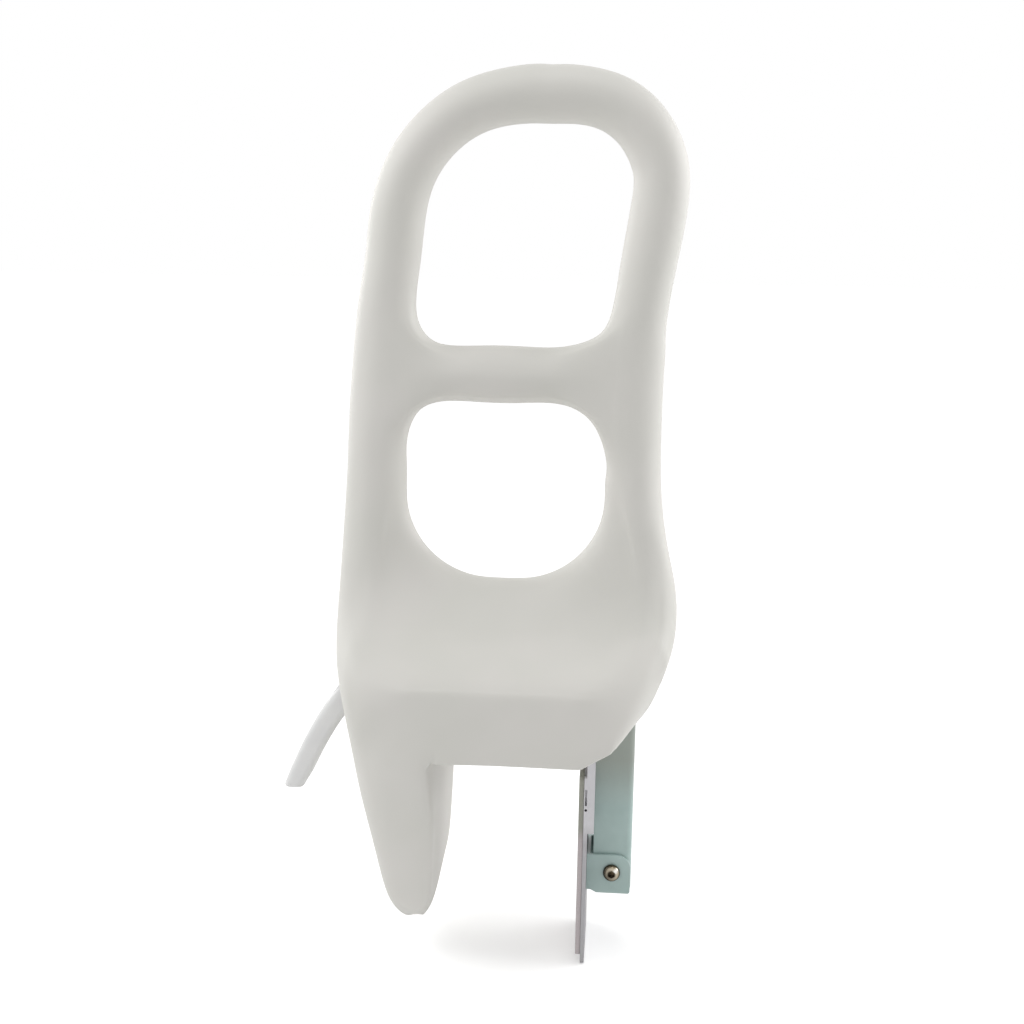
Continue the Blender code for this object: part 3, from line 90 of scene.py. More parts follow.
def new_material(name):
    """A material, its node tree, and the coordinates that its patterns follow."""
    material = bpy.data.materials.new(name)
    material.use_nodes = True
    tree = material.node_tree
    tree.nodes.clear()
    return material, tree, add_node(tree, "TexCoord")


def add_object(name, data):
    """A new object in the scene."""
    made = bpy.data.objects.new(name, data)
    bpy.context.scene.collection.objects.link(made)
    return made


def aimed(place, aim):
    """Where an object stands and how it is turned to face a point."""
    turn = (aim - Vector(place)).to_track_quat("-Z", "Y").to_matrix().to_4x4()
    return Matrix.Translation(place) @ turn


CAMERA_PLACE = Vector((0.0797, -0.8376, 0.2863))
CAMERA_AIM = Vector((0.0160, 0.0, 0.1382))
CAMERA_LEAN = math.radians(1.0)
camera = add_object("camera", bpy.data.cameras.new("camera"))
camera.data.lens = 50.0
camera.data.sensor_width = 36.0
camera.matrix_world = aimed(CAMERA_PLACE, CAMERA_AIM) @ Matrix.Rotation(CAMERA_LEAN, 4, "Z")
bpy.context.scene.camera = camera
bpy.context.scene.view_settings.view_transform = "Standard"

SURROUNDINGS = 0.57  # strength of the pale room around the rail
world = bpy.data.worlds.new("studio")
world.use_nodes = True
tree = world.node_tree
tree.nodes.clear()
path = add_node(tree, "LightPath")
highest = {"operation": "MAXIMUM"}
seen = add_node(tree, "Math", highest, at_0=(path, "Is Camera Ray"), at_1=(path, "Is Glossy Ray"))
seen = add_node(tree, "Math", highest, at_0=(seen, 0), at_1=(path, "Is Transmission Ray"))
room = add_node(tree, "Background", Color=srgb("#ffffff"), Strength=SURROUNDINGS)
backdrop = add_node(tree, "Background", Color=srgb("#ffffff"), Strength=1.0)
mixed = add_node(tree, "MixShader", Fac=(seen, 0), at_1=(room, 0), at_2=(backdrop, 0))
add_node(tree, "OutputWorld", Surface=(mixed, 0))
bpy.context.scene.world = world

LIGHT_AIM = Vector((0.0, 0.0, 0.15))
BOX_SIZE = 0.7
SOFT_BOXES = (
    ("left_box", (-1.0, -0.25, 0.75), 4.8),
    ("right_box", (1.0, 0.15, 0.55), 4.4),
    ("top_box", (0.1, -0.35, 1.3), 2.7),
    ("back_left_box", (-0.9, 0.7, 0.45), 3.8),
    ("back_right_box", (0.9, 0.7, 0.45), 2.5),
)
for name, place, power in SOFT_BOXES:
    lamp = add_object(name, bpy.data.lights.new(name, "AREA"))
    lamp.data.shape = "SQUARE"
    lamp.data.size = BOX_SIZE
    lamp.data.energy = power
    lamp.matrix_world = aimed(place, LIGHT_AIM)

FLOOR_GAP = 0.0005  # from the rail's lowest point down to the floor
FLOOR_REACH = 30.0
bm = bmesh.new()
bmesh.ops.create_grid(bm, x_segments=1, y_segments=1, size=FLOOR_REACH)
floor = add_object("floor", bpy.data.meshes.new("floor"))
bm.to_mesh(floor.data)
bm.free()
floor.location = (0.0, 0.0, cad_box[0][2] - FLOOR_GAP)
# Matt white paper. It takes the rail's soft shadow. For the camera alone it also glows, more so far
# from the rail, where the soft boxes don't reach, so that the sweep stays white. From below it is
# clear
GLOW_NEAR, NEAR = 0.30, 0.8  # glow, and metres from the rail
GLOW_FAR, FAR = 0.56, 1.5
paper, tree, place = new_material("matt_white_paper")
path = add_node(tree, "LightPath")
diffuse = add_node(tree, "BsdfDiffuse", Color=srgb("#f2f2f2"))
away = add_node(tree, "VectorMath", {"operation": "LENGTH"}, at_0=(place, "Object"))
glows = {"From_Min": NEAR, "From_Max": FAR, "To_Min": GLOW_NEAR, "To_Max": GLOW_FAR}
rise = add_node(tree, "MapRange", Value=(away, "Value"), **glows)
seen = (path, "Is Camera Ray")
lift = add_node(tree, "Math", {"operation": "MULTIPLY"}, at_0=seen, at_1=(rise, 0))
glow = add_node(tree, "Emission", Color=srgb("#ffffff"), Strength=(lift, 0))
both = add_node(tree, "AddShader", at_0=(diffuse, 0), at_1=(glow, 0))
under = add_node(tree, "NewGeometry")
clear = add_node(tree, "BsdfTransparent", Color=srgb("#ffffff"))
sheet = add_node(tree, "MixShader", Fac=(under, "Backfacing"), at_1=(both, 0), at_2=(clear, 0))
add_node(tree, "OutputMaterial", Surface=(sheet, 0))
floor.data.materials.append(paper)

# Moulded body
# One moulding in white polyethylene, most likely hollow: a hand loop with two openings that flares
# out into a base block, and a flat leg that hangs outside the bath. The mould leaves a satin grain.

# Sizes of the hand loop
RAIL_HEIGHT = 0.3965  # underside to the top of the loop
GRIP_THICKNESS = 0.0325  # upper loop, seen from the front
GRIP_DEPTH = 0.036  # every hand bar, front to back
TOP_LEFT_THINNING = 0.0018  # the loop is this much thinner in its wide corner
SIDE_THICKNESS = 0.035  # side bars beside the lower opening, seen from the front
MID_BAR_THICKNESS = 0.0335  # lower hand bar, seen from the front
MID_BAR_Z = 0.2205
MID_BAR_DEPTH = 0.0345  # lower hand bar, front to back
UPPER_LEFT_X = -0.0455  # sides of the upper opening, where they meet the lower hand bar
UPPER_RIGHT_X = 0.0690
UPPER_LEFT_LEAN = 0.111  # X per Z
UPPER_RIGHT_LEAN = 0.150
UPPER_TOP_LEFT_RADIUS = 0.058
UPPER_TOP_RIGHT_RADIUS = 0.034
UPPER_LOW_LEFT_RADIUS = 0.020
UPPER_LOW_RIGHT_RADIUS = 0.027
LOWER_LEFT_X = -0.0478  # sides of the lower opening
LOWER_RIGHT_X = 0.0712
LOWER_FLOOR_Z = 0.0975
LOWER_TOP_LEFT_RADIUS = 0.023
LOWER_TOP_RIGHT_RADIUS = 0.032
LOWER_FLOOR_RADIUS = 0.0515

# How far the side bars' outer lines stand out from straight ones, beside the lower opening
LEFT_LINE = (-0.0022, -0.0008, 0.0, 0.0010, 0.0022, 0.0035)  # from the base up
LEFT_LINE_LEVELS = (0.138, 0.160)  # of its two lowest points
RIGHT_LINE = (-0.0020, -0.0025, -0.0027, -0.0025, -0.0006)  # from the upper bar down
RIGHT_LINE_LEVEL = 0.145  # of its lowest point
# Power that squares each of these sections, so that the lower hand bar can join it
LEFT_POWERS = (1.0, 1.0, 0.75, 0.40, 0.15, 0.40)
RIGHT_POWERS = (0.40, 0.15, 0.40, 0.75, 1.0)
BAR_END_POWER = 0.75

# Sizes of the base and the outer leg
BASE_DEPTH = 0.120  # along the bath wall
BASE_LEFT_X = -0.0884  # the base's widest points
BASE_RIGHT_X = 0.1160
BASE_FACE_TOP = 0.0455  # level of the front face's upper edge
FLARE_TOP = 0.125  # where the base starts to flare forwards
FLARE_POWER = 3.0  # how late it does so
BASE_CORNER = 0.027  # plan radius at the outer leg
BASE_JAW_CORNER = 0.024  # plan radius at the jaw end
FLAT_END_X = 0.0640  # where the underside starts to curve up
LEG_INNER_X = -0.0244  # the leg's face against the outside of the bath
LEG_LENGTH = 0.119
LEG_DRAFT = 0.008  # lean of that face, X per Z
LEG_TIP_THICKNESS = 0.0115
LEG_TIP_SETBACK = 0.0085  # how far the rounded tip stands back from that face

# The base's outline below its widest points: how far in from them, at which level
LEFT_OUTLINE = ((0.0016, 0.112), (0.0, 0.082), (0.0008, 0.057), (0.0052, 0.036), (0.0131, 0.0))
RIGHT_OUTLINE = (
    (0.0060, 0.118), (0.0004, 0.092), (0.0008, 0.065), (0.0090, 0.043), (0.0222, 0.019)
)
# How far each of these points is base, and not yet bar
LEFT_BLENDS = (0.06, 0.28, 0.65, 0.92, 1.0)
RIGHT_BLENDS = (0.12, 0.35, 0.75, 0.95, 1.0)
ROUNDED_FROM = 0.3  # how far a section is base where its plan starts to be rounded
LEAST_JAW_CORNER = 0.1  # share of the jaw corner's radius left at the underside

# Rows of the base: below the opening's floor, and above the level where the front face starts
SHELF_DROPS = (0.0, 0.0025, 0.0115, 0.0285)
FACE_RISES = (0.0160, 0.0060, -0.0020, -0.0110)
# For each row of the base, from the inner edge out: how far out it may lie, and its share of the
# depth
ROW_LIMITS = (1.0, 1.0, 1.0, 1.0, 0.62, 0.70, 0.78, 0.87, 1.0, 1.0, 1.0)
ROW_DEPTHS = (0.0, 0.45, 0.80, 0.97, 1.0, 1.0, 0.962, 1.0, 1.0, 0.53, 0.0)

LEG_EDGE = 0.35  # crispness of the leg's edges along the bath, up to 1
RIM_EDGES = (0.2, 0.32, 0.42, 1.0, 1.0, 1.0)  # of the underside's edge, from the jaw end
CORNER_CUT = 0.29  # of a corner's radius: how far its middle lies inside the square corner
CORNER_FADE = 0.5  # share of the cut that is gone at the leg's tip

# Levels of the leg, as shares: drop, taper of the outer face, set-back of the inner face, then the
# half-width and further drop of its middle, intermediate and edge rows
LEG_LEVELS = (
    (0.26, 0.19, 0.0, ((0.0, 0.0), (0.50, 0.0), (0.945, 0.0))),
    (0.54, 0.48, 0.03, ((0.0, 0.01), (0.46, 0.01), (0.865, 0.0))),
    (0.765, 0.74, 0.22, ((0.0, 0.09), (0.42, 0.065), (0.765, 0.0))),
    (0.87, 1.0, 1.0, ((0.0, 0.13), (0.36, 0.073), (0.60, 0.0))),
)

ROWS = 10  # cage rows from a bar's inner edge to its outer edge, on one side
MID_BAR_ROWS = 3  # how many of them the lower hand bar joins, each side of the middle
CLEARANCE = 0.0003  # between neighbouring pieces
SCREW_Z = 0.030
SEAT_X = -0.0705  # floor of the dished pocket that the handle turns in
SEAT_DIAMETER = 0.026  # its floor, and then a cone at 45 degrees
SEAT_WALL = 0.0035
BUSH_OUTER = 0.014
BUSH_FLANGE_THICKNESS = 0.0016
SHEET = 0.0025  # channel steel
SLOT_LEFT_X = 0.022  # slot in the underside that the arm runs in
SLOT_WIDTH = 0.034
SLOT_ROOF_Z = 0.024


def rounded_corner(before, corner, after, radius, steps):
    """(point, outward normal) pairs along one rounded corner of an opening."""
    before, corner, after = np.array(before), np.array(corner), np.array(after)
    towards = (before - corner) / np.linalg.norm(before - corner)
    onwards = (after - corner) / np.linalg.norm(after - corner)
    half = math.acos(float(towards @ onwards)) / 2
    middle = (towards + onwards) / np.linalg.norm(towards + onwards)
    centre = corner + middle * radius / math.sin(half)
    start = corner + towards * radius / math.tan(half) - centre
    end = corner + onwards * radius / math.tan(half) - centre
    first = math.atan2(start[1], start[0])
    sweep = (math.atan2(end[1], end[0]) - first + math.pi) % (2 * math.pi) - math.pi
    turned = [first + sweep * k / steps for k in range(steps + 1)]
    spokes = [np.array((math.cos(angle), math.sin(angle))) for angle in turned]
    return [(centre + radius * spoke, spoke) for spoke in spokes]


def rail_stations():
    """Sections round the whole loop, clockwise: inner point, outer point, how far it is base, and
    the power that squares a bar where the lower hand bar joins it."""
    mid_top = MID_BAR_Z + MID_BAR_THICKNESS / 2
    mid_low = MID_BAR_Z - MID_BAR_THICKNESS / 2
    top = RAIL_HEIGHT - GRIP_THICKNESS
    rise = top - mid_top
    upper = [
        (UPPER_LEFT_X, mid_top),
        (UPPER_LEFT_X + UPPER_LEFT_LEAN * rise, top),
        (UPPER_RIGHT_X + UPPER_RIGHT_LEAN * rise, top),
        (UPPER_RIGHT_X, mid_top),
    ]
    lower = [
        (LOWER_LEFT_X, LOWER_FLOOR_Z),
        (LOWER_LEFT_X, mid_low),
        (LOWER_RIGHT_X, mid_low),
        (LOWER_RIGHT_X, LOWER_FLOOR_Z),
    ]

    def corner(opening, k, radius, steps):
        return rounded_corner(opening[k - 1], opening[k], opening[(k + 1) % 4], radius, steps)

    up_left = corner(upper, 0, UPPER_LOW_LEFT_RADIUS, 2)
    top_left = corner(upper, 1, UPPER_TOP_LEFT_RADIUS, 4)
    top_right = corner(upper, 2, UPPER_TOP_RIGHT_RADIUS, 4)
    up_right = corner(upper, 3, UPPER_LOW_RIGHT_RADIUS, 2)
    points = [(1, LOWER_TOP_LEFT_RADIUS, 2), (2, LOWER_TOP_RIGHT_RADIUS, 2)]
    points += [(3, LOWER_FLOOR_RADIUS, 7), (0, LOWER_FLOOR_RADIUS, 7)]
    arcs = [corner(lower, *point) for point in points]
    low_left, low_right, floor_right, floor_left = ([p for p, _ in arc] for arc in arcs)

    left_x = LOWER_LEFT_X - SIDE_THICKNESS
    right_x = LOWER_RIGHT_X + SIDE_THICKNESS
    left_base = [(BASE_LEFT_X + inset, level) for inset, level in LEFT_OUTLINE]
    right_base = [(BASE_RIGHT_X - inset, level) for inset, level in RIGHT_OUTLINE]

    def between(first, second, share=0.5):
        return first + (second - first) * share

    def bar(pair, thickness=GRIP_THICKNESS, power=1.0):
        return (pair[0], pair[0] + pair[1] * thickness, 0.0, power)

    def bar_between(pair, other):
        return bar((between(pair[0], other[0]), pair[1]))

    # Up the left side, from the leg
    loop = []
    for inner, outer, blend in zip(floor_left[2:7], left_base[::-1], LEFT_BLENDS[::-1]):
        loop.append((inner, np.array(outer), blend, 1.0))
    low, joint, high = low_left[0], low_left[1], up_left[1][0]
    centre = np.array((between(joint[0], high[0]), MID_BAR_Z))
    inners = (floor_left[7], between(floor_left[7], low), low, joint, centre, high)
    levels = (*LEFT_LINE_LEVELS, low[1], mid_low, MID_BAR_Z, mid_top)
    for inner, out, level, power in zip(inners, LEFT_LINE, levels, LEFT_POWERS):
        loop.append((inner, np.array((left_x + out, level)), 0.0, power))
    left_index = len(loop) - 2

    # Over the top, with the upper opening inside
    loop.append(bar(up_left[2], between(SIDE_THICKNESS, GRIP_THICKNESS), BAR_END_POWER))
    loop.append(bar_between(up_left[2], top_left[0]))
    for k, pair in enumerate(top_left):
        thinning = TOP_LEFT_THINNING * math.sin(math.pi * k / (len(top_left) - 1))
        loop.append(bar(pair, GRIP_THICKNESS - thinning))
    loop.append(bar_between(top_left[-1], top_right[0]))
    loop.extend(bar(pair) for pair in top_right)
    loop.append(bar_between(top_right[-1], up_right[0]))
    loop.append(bar(up_right[0], power=BAR_END_POWER))

    # Down the right side, and back along the underside to the leg
    right_index = len(loop) + 1
    high, joint, low = up_right[1][0], low_right[1], low_right[2]
    centre = np.array((between(joint[0], high[0]), MID_BAR_Z))
    inners = (high, centre, joint, low, between(low, floor_right[0]))
    levels = (mid_top, MID_BAR_Z, mid_low, low[1], RIGHT_LINE_LEVEL)
    for inner, out, level, power in zip(inners, RIGHT_LINE, levels, RIGHT_POWERS):
        loop.append((inner, np.array((right_x + out, level)), 0.0, power))
    for inner, outer, blend in zip(floor_right[0:5], right_base, RIGHT_BLENDS):
        loop.append((inner, np.array(outer), blend, 1.0))
    bottoms = [between(FLAT_END_X, LEG_INNER_X, k / 3) for k in range(4)]
    for inner, x in zip(floor_right[5:8] + floor_left[:1], bottoms):
        loop.append((inner, np.array((x, 0.0)), 1.0, 1.0))
    leg_end = len(loop) - 1
    leg_middle = between(LEG_INNER_X, left_base[-1][0])
    loop.append((floor_left[1], np.array((leg_middle, 0.0)), 1.0, 1.0))
    return loop, left_index, right_index, leg_end, left_base, right_base


def flare(level):
    """Half the body's depth at a level: a sweep from the hand bars out to the front face."""
    bar = GRIP_DEPTH / 2
    reach = BASE_DEPTH / 2 - bar
    share = min(max((level - BASE_FACE_TOP) / (FLARE_TOP - BASE_FACE_TOP), 0.0), 1.0)
    return bar + reach * (1 - share) ** FLARE_POWER


def section_rows(inner, outer, blend, power, left_base, right_base):
    """Front half of one section, from its inner to its outer edge: round bar or flared base."""
    height = inner[1]
    levels = [height - drop for drop in SHELF_DROPS]
    levels += [BASE_FACE_TOP + rise for rise in FACE_RISES]
    levels += [outer[1]] * 3
    points = []
    for row in range(ROWS + 1):
        angle = math.pi * row / ROWS
        share = (1 - math.cos(angle)) / 2
        full = max(math.sin(angle), 0.0) ** (power if share < 0.5 else 1.0)
        if blend > 0:
            based = min((height - levels[row]) / (height - outer[1]), ROW_LIMITS[row])
            share += (based - share) * blend
            full += (ROW_DEPTHS[row] - full) * blend
        x, z = inner + (outer - inner) * share
        y = flare(z) * full
        if blend > ROUNDED_FROM:
            x, y = round_plan(x, y, z, left_base, right_base)
        points.append((x, -y, z))
    return points


def round_plan(x, y, z, left_base, right_base):
    """Pull a base point in to the plan radius of the nearer corner."""
    levels_left = [p[1] for p in left_base[::-1]]
    levels_right = [0.0] + [p[1] for p in right_base[::-1]]
    edge_left = np.interp(z, levels_left, [p[0] for p in left_base[::-1]])
    edge_right = np.interp(z, levels_right, [FLAT_END_X] + [p[0] for p in right_base[::-1]])
    depth = flare(z)
    if x < 0:
        edge, side = edge_left, -1
        radius = min(BASE_CORNER, depth)
    else:
        edge, side = edge_right, 1
        radius = min(BASE_JAW_CORNER * min(max(z / BASE_FACE_TOP, LEAST_JAW_CORNER), 1.0), depth)
    centre_x = edge - side * radius
    centre_y = depth - radius
    dx = (x - centre_x) * side
    dy = y - centre_y
    if dx > 0 and dy > 0:
        reach = math.hypot(dx, dy)
        if reach > radius:
            dx *= radius / reach
            dy *= radius / reach
    return centre_x + side * dx, centre_y + dy


def seat_on_surface(cage, rounds):
    """Push a cage out until its subdivision surface passes through the points it was drawn with."""
    drawn = np.array([v.co[:] for v in cage.data.vertices])
    placed = drawn.copy()
    for _ in range(rounds):
        graph = bpy.context.evaluated_depsgraph_get()
        smooth = cage.evaluated_get(graph).data
        reached = np.array([smooth.vertices[i].co[:] for i in range(len(drawn))])
        placed += drawn - reached
        cage.data.vertices.foreach_set("co", placed.ravel())
        cage.data.update()


def rail_cage():
    """The body's subdivision cage: the loop's sections, the lower hand bar and the leg."""
    loop, left_index, right_index, leg_end, left_base, right_base = rail_stations()
    bm = bmesh.new()
    sharp = bm.edges.layers.float.new("crease_edge")
    rings = []
    for inner, outer, blend, power in loop:
        front = section_rows(inner, outer, blend, power, left_base, right_base)
        back = [(x, -y, z) for x, y, z in front[-2:0:-1]]
        rings.append([bm.verts.new(p) for p in front + back])
    around = len(rings[0])
    count = len(rings)

    def quad(*corners):
        return bm.faces.new(corners)

    holes = set()
    for start in (left_index - 1, right_index - 1):
        for k in (start, start + 1):
            for row in range(-MID_BAR_ROWS, MID_BAR_ROWS):
                holes.add((k, row % around))
    leg_faces = []
    for k in range(count):
        for row in range(around):
            if (k, row) in holes:
                continue
            after = (k + 1) % count
            step = (row + 1) % around
            face = quad(rings[k][row], rings[after][row], rings[after][step], rings[k][step])
            if leg_end <= k < leg_end + 2 and ROWS - 2 <= row < ROWS + 2:
                leg_faces.append(face)
    for k in (left_index, right_index):
        for row in range(1 - MID_BAR_ROWS, MID_BAR_ROWS):
            bm.verts.remove(rings[k][row])

    # The lower hand bar, bridged between the holes left in the side bars
    rows = list(range(-MID_BAR_ROWS, MID_BAR_ROWS + 1))
    ends = []
    for index, up in ((left_index, 1), (right_index, -1)):
        top, mid, low = rings[index + up], rings[index], rings[index - up]
        end = [top[r] for r in rows] + [mid[MID_BAR_ROWS]]
        ends.append(end + [low[r] for r in rows[::-1]] + [mid[-MID_BAR_ROWS]])
    angles = [math.pi * r / ROWS for r in rows] + [math.pi / 2]
    angles += [math.pi - math.pi * r / ROWS for r in rows[::-1]] + [-math.pi / 2]
    left = UPPER_LEFT_X + UPPER_LOW_LEFT_RADIUS
    right = UPPER_RIGHT_X - UPPER_LOW_RIGHT_RADIUS
    bridge = ends[:1]
    for k in range(4):
        x = left + (right - left) * k / 3
        ring = []
        for angle in angles:
            y = -math.sin(angle) * MID_BAR_DEPTH / 2
            z = MID_BAR_Z + math.cos(angle) * MID_BAR_THICKNESS / 2
            ring.append(bm.verts.new((x, y, z)))
        bridge.append(ring)
    bridge.append(ends[1])
    for one, two in zip(bridge, bridge[1:]):
        for i in range(len(one)):
            j = (i + 1) % len(one)
            quad(one[i], two[i], two[j], one[j])

    # The leg, drawn down from the underside
    bmesh.ops.delete(bm, geom=leg_faces, context="FACES_ONLY")
    columns = [rings[leg_end], rings[leg_end + 1], rings[(leg_end + 2) % count]]
    spots = range(ROWS - 2, ROWS + 3)
    grid = [[ring[spot] for spot in spots] for ring in columns]
    top_x = left_base[-1][0]
    inner_tip = LEG_INNER_X - LEG_DRAFT * LEG_LENGTH - LEG_TIP_SETBACK
    outer_tip = inner_tip - LEG_TIP_THICKNESS
    half = BASE_DEPTH / 2
    for drop, taper, setback, outline in LEG_LEVELS:
        lower = []
        for c in range(3):
            line = []
            for s in range(5):
                width, extra = outline[abs(s - 2)]
                level = -LEG_LENGTH * (drop + extra)
                inner_x = LEG_INNER_X + LEG_DRAFT * level - LEG_TIP_SETBACK * setback
                outer_x = top_x + (outer_tip - top_x) * taper
                x = inner_x + (outer_x - inner_x) * c / 2
                y = math.copysign(half * width, s - 2)
                if c == 2 and abs(s - 2) == 2:
                    cut = BASE_CORNER * CORNER_CUT
                    x += cut * (1 - taper)
                    y -= math.copysign(cut * (1 - CORNER_FADE * taper), y)
                line.append(bm.verts.new((x, y, level)))
            lower.append(line)
        join_leg(bm, grid, lower)
        for s in (0, 4):
            crease(bm, sharp, grid[0][s], lower[0][s], LEG_EDGE)
        grid = lower
    for c in range(2):
        for s in range(4):
            quad(grid[c][s], grid[c + 1][s], grid[c + 1][s + 1], grid[c][s + 1])
    for s in range(4):
        crease(bm, sharp, grid[0][s], grid[0][s + 1], 1.0)
        crease(bm, sharp, columns[0][spots[s]], columns[0][spots[s + 1]], 1.0)

    # The rim of the underside is a crisp edge that fades as the jaw end curves up
    for row in (ROWS - 2, ROWS + 2):
        for k, amount in zip(range(leg_end - 6, leg_end), RIM_EDGES):
            crease(bm, sharp, rings[k][row], rings[k + 1][row], amount)
    for row in range(ROWS - 2, ROWS + 2):
        crease(bm, sharp, rings[leg_end - 3][row], rings[leg_end - 3][row + 1], 1.0)
    for v in [v for v in bm.verts if not v.link_faces]:
        bm.verts.remove(v)
    bmesh.ops.recalc_face_normals(bm, faces=bm.faces)
    return bm


def crease(bm, layer, first, second, amount):
    """Sharpen the cage edge between two points."""
    edge = bm.edges.get((first, second))
    edge[layer] = amount


def join_leg(bm, upper, lower):
    """Side walls of the leg between two levels of its grid."""
    walls = []
    for grid in (upper, lower):
        wall = list(grid[0])
        wall += [grid[1][4], grid[2][4]]
        wall += [grid[2][s] for s in (3, 2, 1, 0)]
        wall.append(grid[1][0])
        walls.append(wall)
    above, below = walls
    for i in range(len(above)):
        j = (i + 1) % len(above)
        bm.faces.new((above[i], above[j], below[j], below[i]))


SHARP_ANGLE = 35  # degrees: edges that turn more than this are drawn sharp
BEVEL_ANGLE = 40  # degrees: edges that turn more than this are rounded


def shade_smooth(mesh, sharp_angle):
    """Shade a mesh smooth between its sharp edges."""
    mesh.shade_smooth()
    mesh.set_sharp_from_angle(angle=math.radians(sharp_angle))


def new_piece(name, bm, material=None):
    """An object from a bmesh, shaded smooth between sharp edges."""
    bmesh.ops.recalc_face_normals(bm, faces=bm.faces)
    mesh = bpy.data.meshes.new(name)
    bm.to_mesh(mesh)
    bm.free()
    shade_smooth(mesh, SHARP_ANGLE)
    if material is not None:
        mesh.materials.append(material)
    return add_object(name, mesh)


def combine(target, bm, operation="DIFFERENCE"):
    """Cut a shape from a piece, or join it on. It is done when the piece is settled."""
    modifier = target.modifiers.new(operation.lower(), "BOOLEAN")
    modifier.operation = operation
    modifier.object = new_piece("tool", bm)
    modifier.solver = "EXACT"


def settle(piece):
    """Turn a piece and its modifiers into a plain mesh, and take its cutting tools away."""
    tools = [modifier.object for modifier in piece.modifiers if modifier.type == "BOOLEAN"]
    bpy.context.view_layer.update()
    graph = bpy.context.evaluated_depsgraph_get()
    mesh = bpy.data.meshes.new_from_object(piece.evaluated_get(graph), depsgraph=graph)
    piece.modifiers.clear()
    piece.data = mesh
    for tool in tools:
        bpy.data.objects.remove(tool, do_unlink=True)


def round_edges(piece, width, segments=2):
    """Small round on the sharp edges of a piece."""
    modifier = piece.modifiers.new("edges", "BEVEL")
    modifier.width = width
    modifier.segments = segments
    modifier.limit_method = "ANGLE"
    modifier.angle_limit = math.radians(BEVEL_ANGLE)
    modifier.harden_normals = True


def box(low, high):
    """A box between two corners."""
    bm = bmesh.new()
    for vert in bmesh.ops.create_cube(bm, size=1.0)["verts"]:
        for axis in range(3):
            vert.co[axis] = low[axis] if vert.co[axis] < 0 else high[axis]
    return bm


def skin(bm, rings):
    """Cover a row of rings of points, and close its ends."""
    bm.faces.new(rings[0])
    bm.faces.new(rings[-1])
    for one, two in zip(rings, rings[1:]):
        for k in range(len(one)):
            after = (k + 1) % len(one)
            bm.faces.new((one[k], one[after], two[after], two[k]))
    return bm


def stacked(axis, sections):
    """A solid over (place, outline) pairs along X (outline in Y, Z), Y (in X, Z) or Z (in X, Y)."""
    order = {"X": (2, 0, 1), "Y": (0, 2, 1), "Z": (0, 1, 2)}[axis]
    bm = bmesh.new()
    rings = []
    for place, outline in sections:
        points = [(a, b, place) for a, b in outline]
        rings.append([bm.verts.new([point[i] for i in order]) for point in points])
    return skin(bm, rings)


def slab(outline, axis, first, last):
    """A flat outline drawn out along an axis."""
    return stacked(axis, ((first, outline), (last, outline)))


def circle(centre, radius, sides, start=0.5):
    """A round outline. It starts at a corner or, from 0.5, at the middle of a side."""
    turns = [2 * math.pi * (k + start) / sides for k in range(sides)]
    return [(centre[0] + radius * math.cos(t), centre[1] + radius * math.sin(t)) for t in turns]


def turned(profile, axis, centre, sides, start=0.5):
    """A solid turned about an axis through a centre, from (place along it, radius) pairs."""
    return stacked(axis, [(place, circle(centre, r, sides, start)) for place, r in profile])


def drill(target, axis, centre, radius, first, last, sides):
    """Cut a round hole from a piece."""
    combine(target, turned([(first, radius), (last, radius)], axis, centre, sides))


def quarter(steps):
    """How far a quarter turn has risen and how far it has drawn in, as shares, at each step."""
    turns = [math.pi / 2 * k / steps for k in range(steps + 1)]
    return [(math.sin(turn), 1 - math.cos(turn)) for turn in turns]


def rounded_outline(corners, steps):
    """A closed outline whose corners, given as (x, z, radius), are rounded."""
    outline = []
    for k, (x, z, radius) in enumerate(corners):
        before = corners[k - 1]
        after = corners[(k + 1) % len(corners)]
        if radius == 0:
            outline.append((x, z))
            continue
        arc = rounded_corner(before[:2], (x, z), after[:2], radius, steps)
        outline.extend(tuple(point) for point, _ in arc)
    return outline


SEATING_ROUNDS = 3
SMOOTH_LEVELS = 3
body = new_piece("body", rail_cage())
subdivide = body.modifiers.new("smooth", "SUBSURF")
subdivide.levels = subdivide.render_levels = 1
seat_on_surface(body, SEATING_ROUNDS)
subdivide.levels = subdivide.render_levels = SMOOTH_LEVELS
settle(body)

# Where the forms meet, the photograph shows a softer turn than the cage gives. The mesh is evened
# out along these lines, at the front and the back alike, and less and less towards the underside
EASED = (  # from, to, reach, rounds, least turn to the front, half width left as it is
    ((-0.070, 0.030, 0.072), (-0.070, 0.030, 0.072), 0.045, 70, 0.35, 0.0),  # loop to shelf, left
    ((-0.045, 0.045, 0.061), (0.050, 0.045, 0.061), 0.018, 60, 0.35, 0.0),  # turn of the shelf
    ((-0.066, 0.056, 0.040), (-0.066, 0.056, 0.040), 0.028, 60, 0.35, 0.0),  # its edge, left end
    ((0.104, 0.046, 0.048), (0.086, 0.052, 0.016), 0.034, 160, 0.01, 0.030),  # jaw end's corners
)
UNDERSIDE_KEPT, EASED_ABOVE = 0.010, 0.036
EASED_FULLY = 0.010  # this far beyond the half width
EASING = 0.6  # share of the way to its neighbours' middle that a point goes in one round


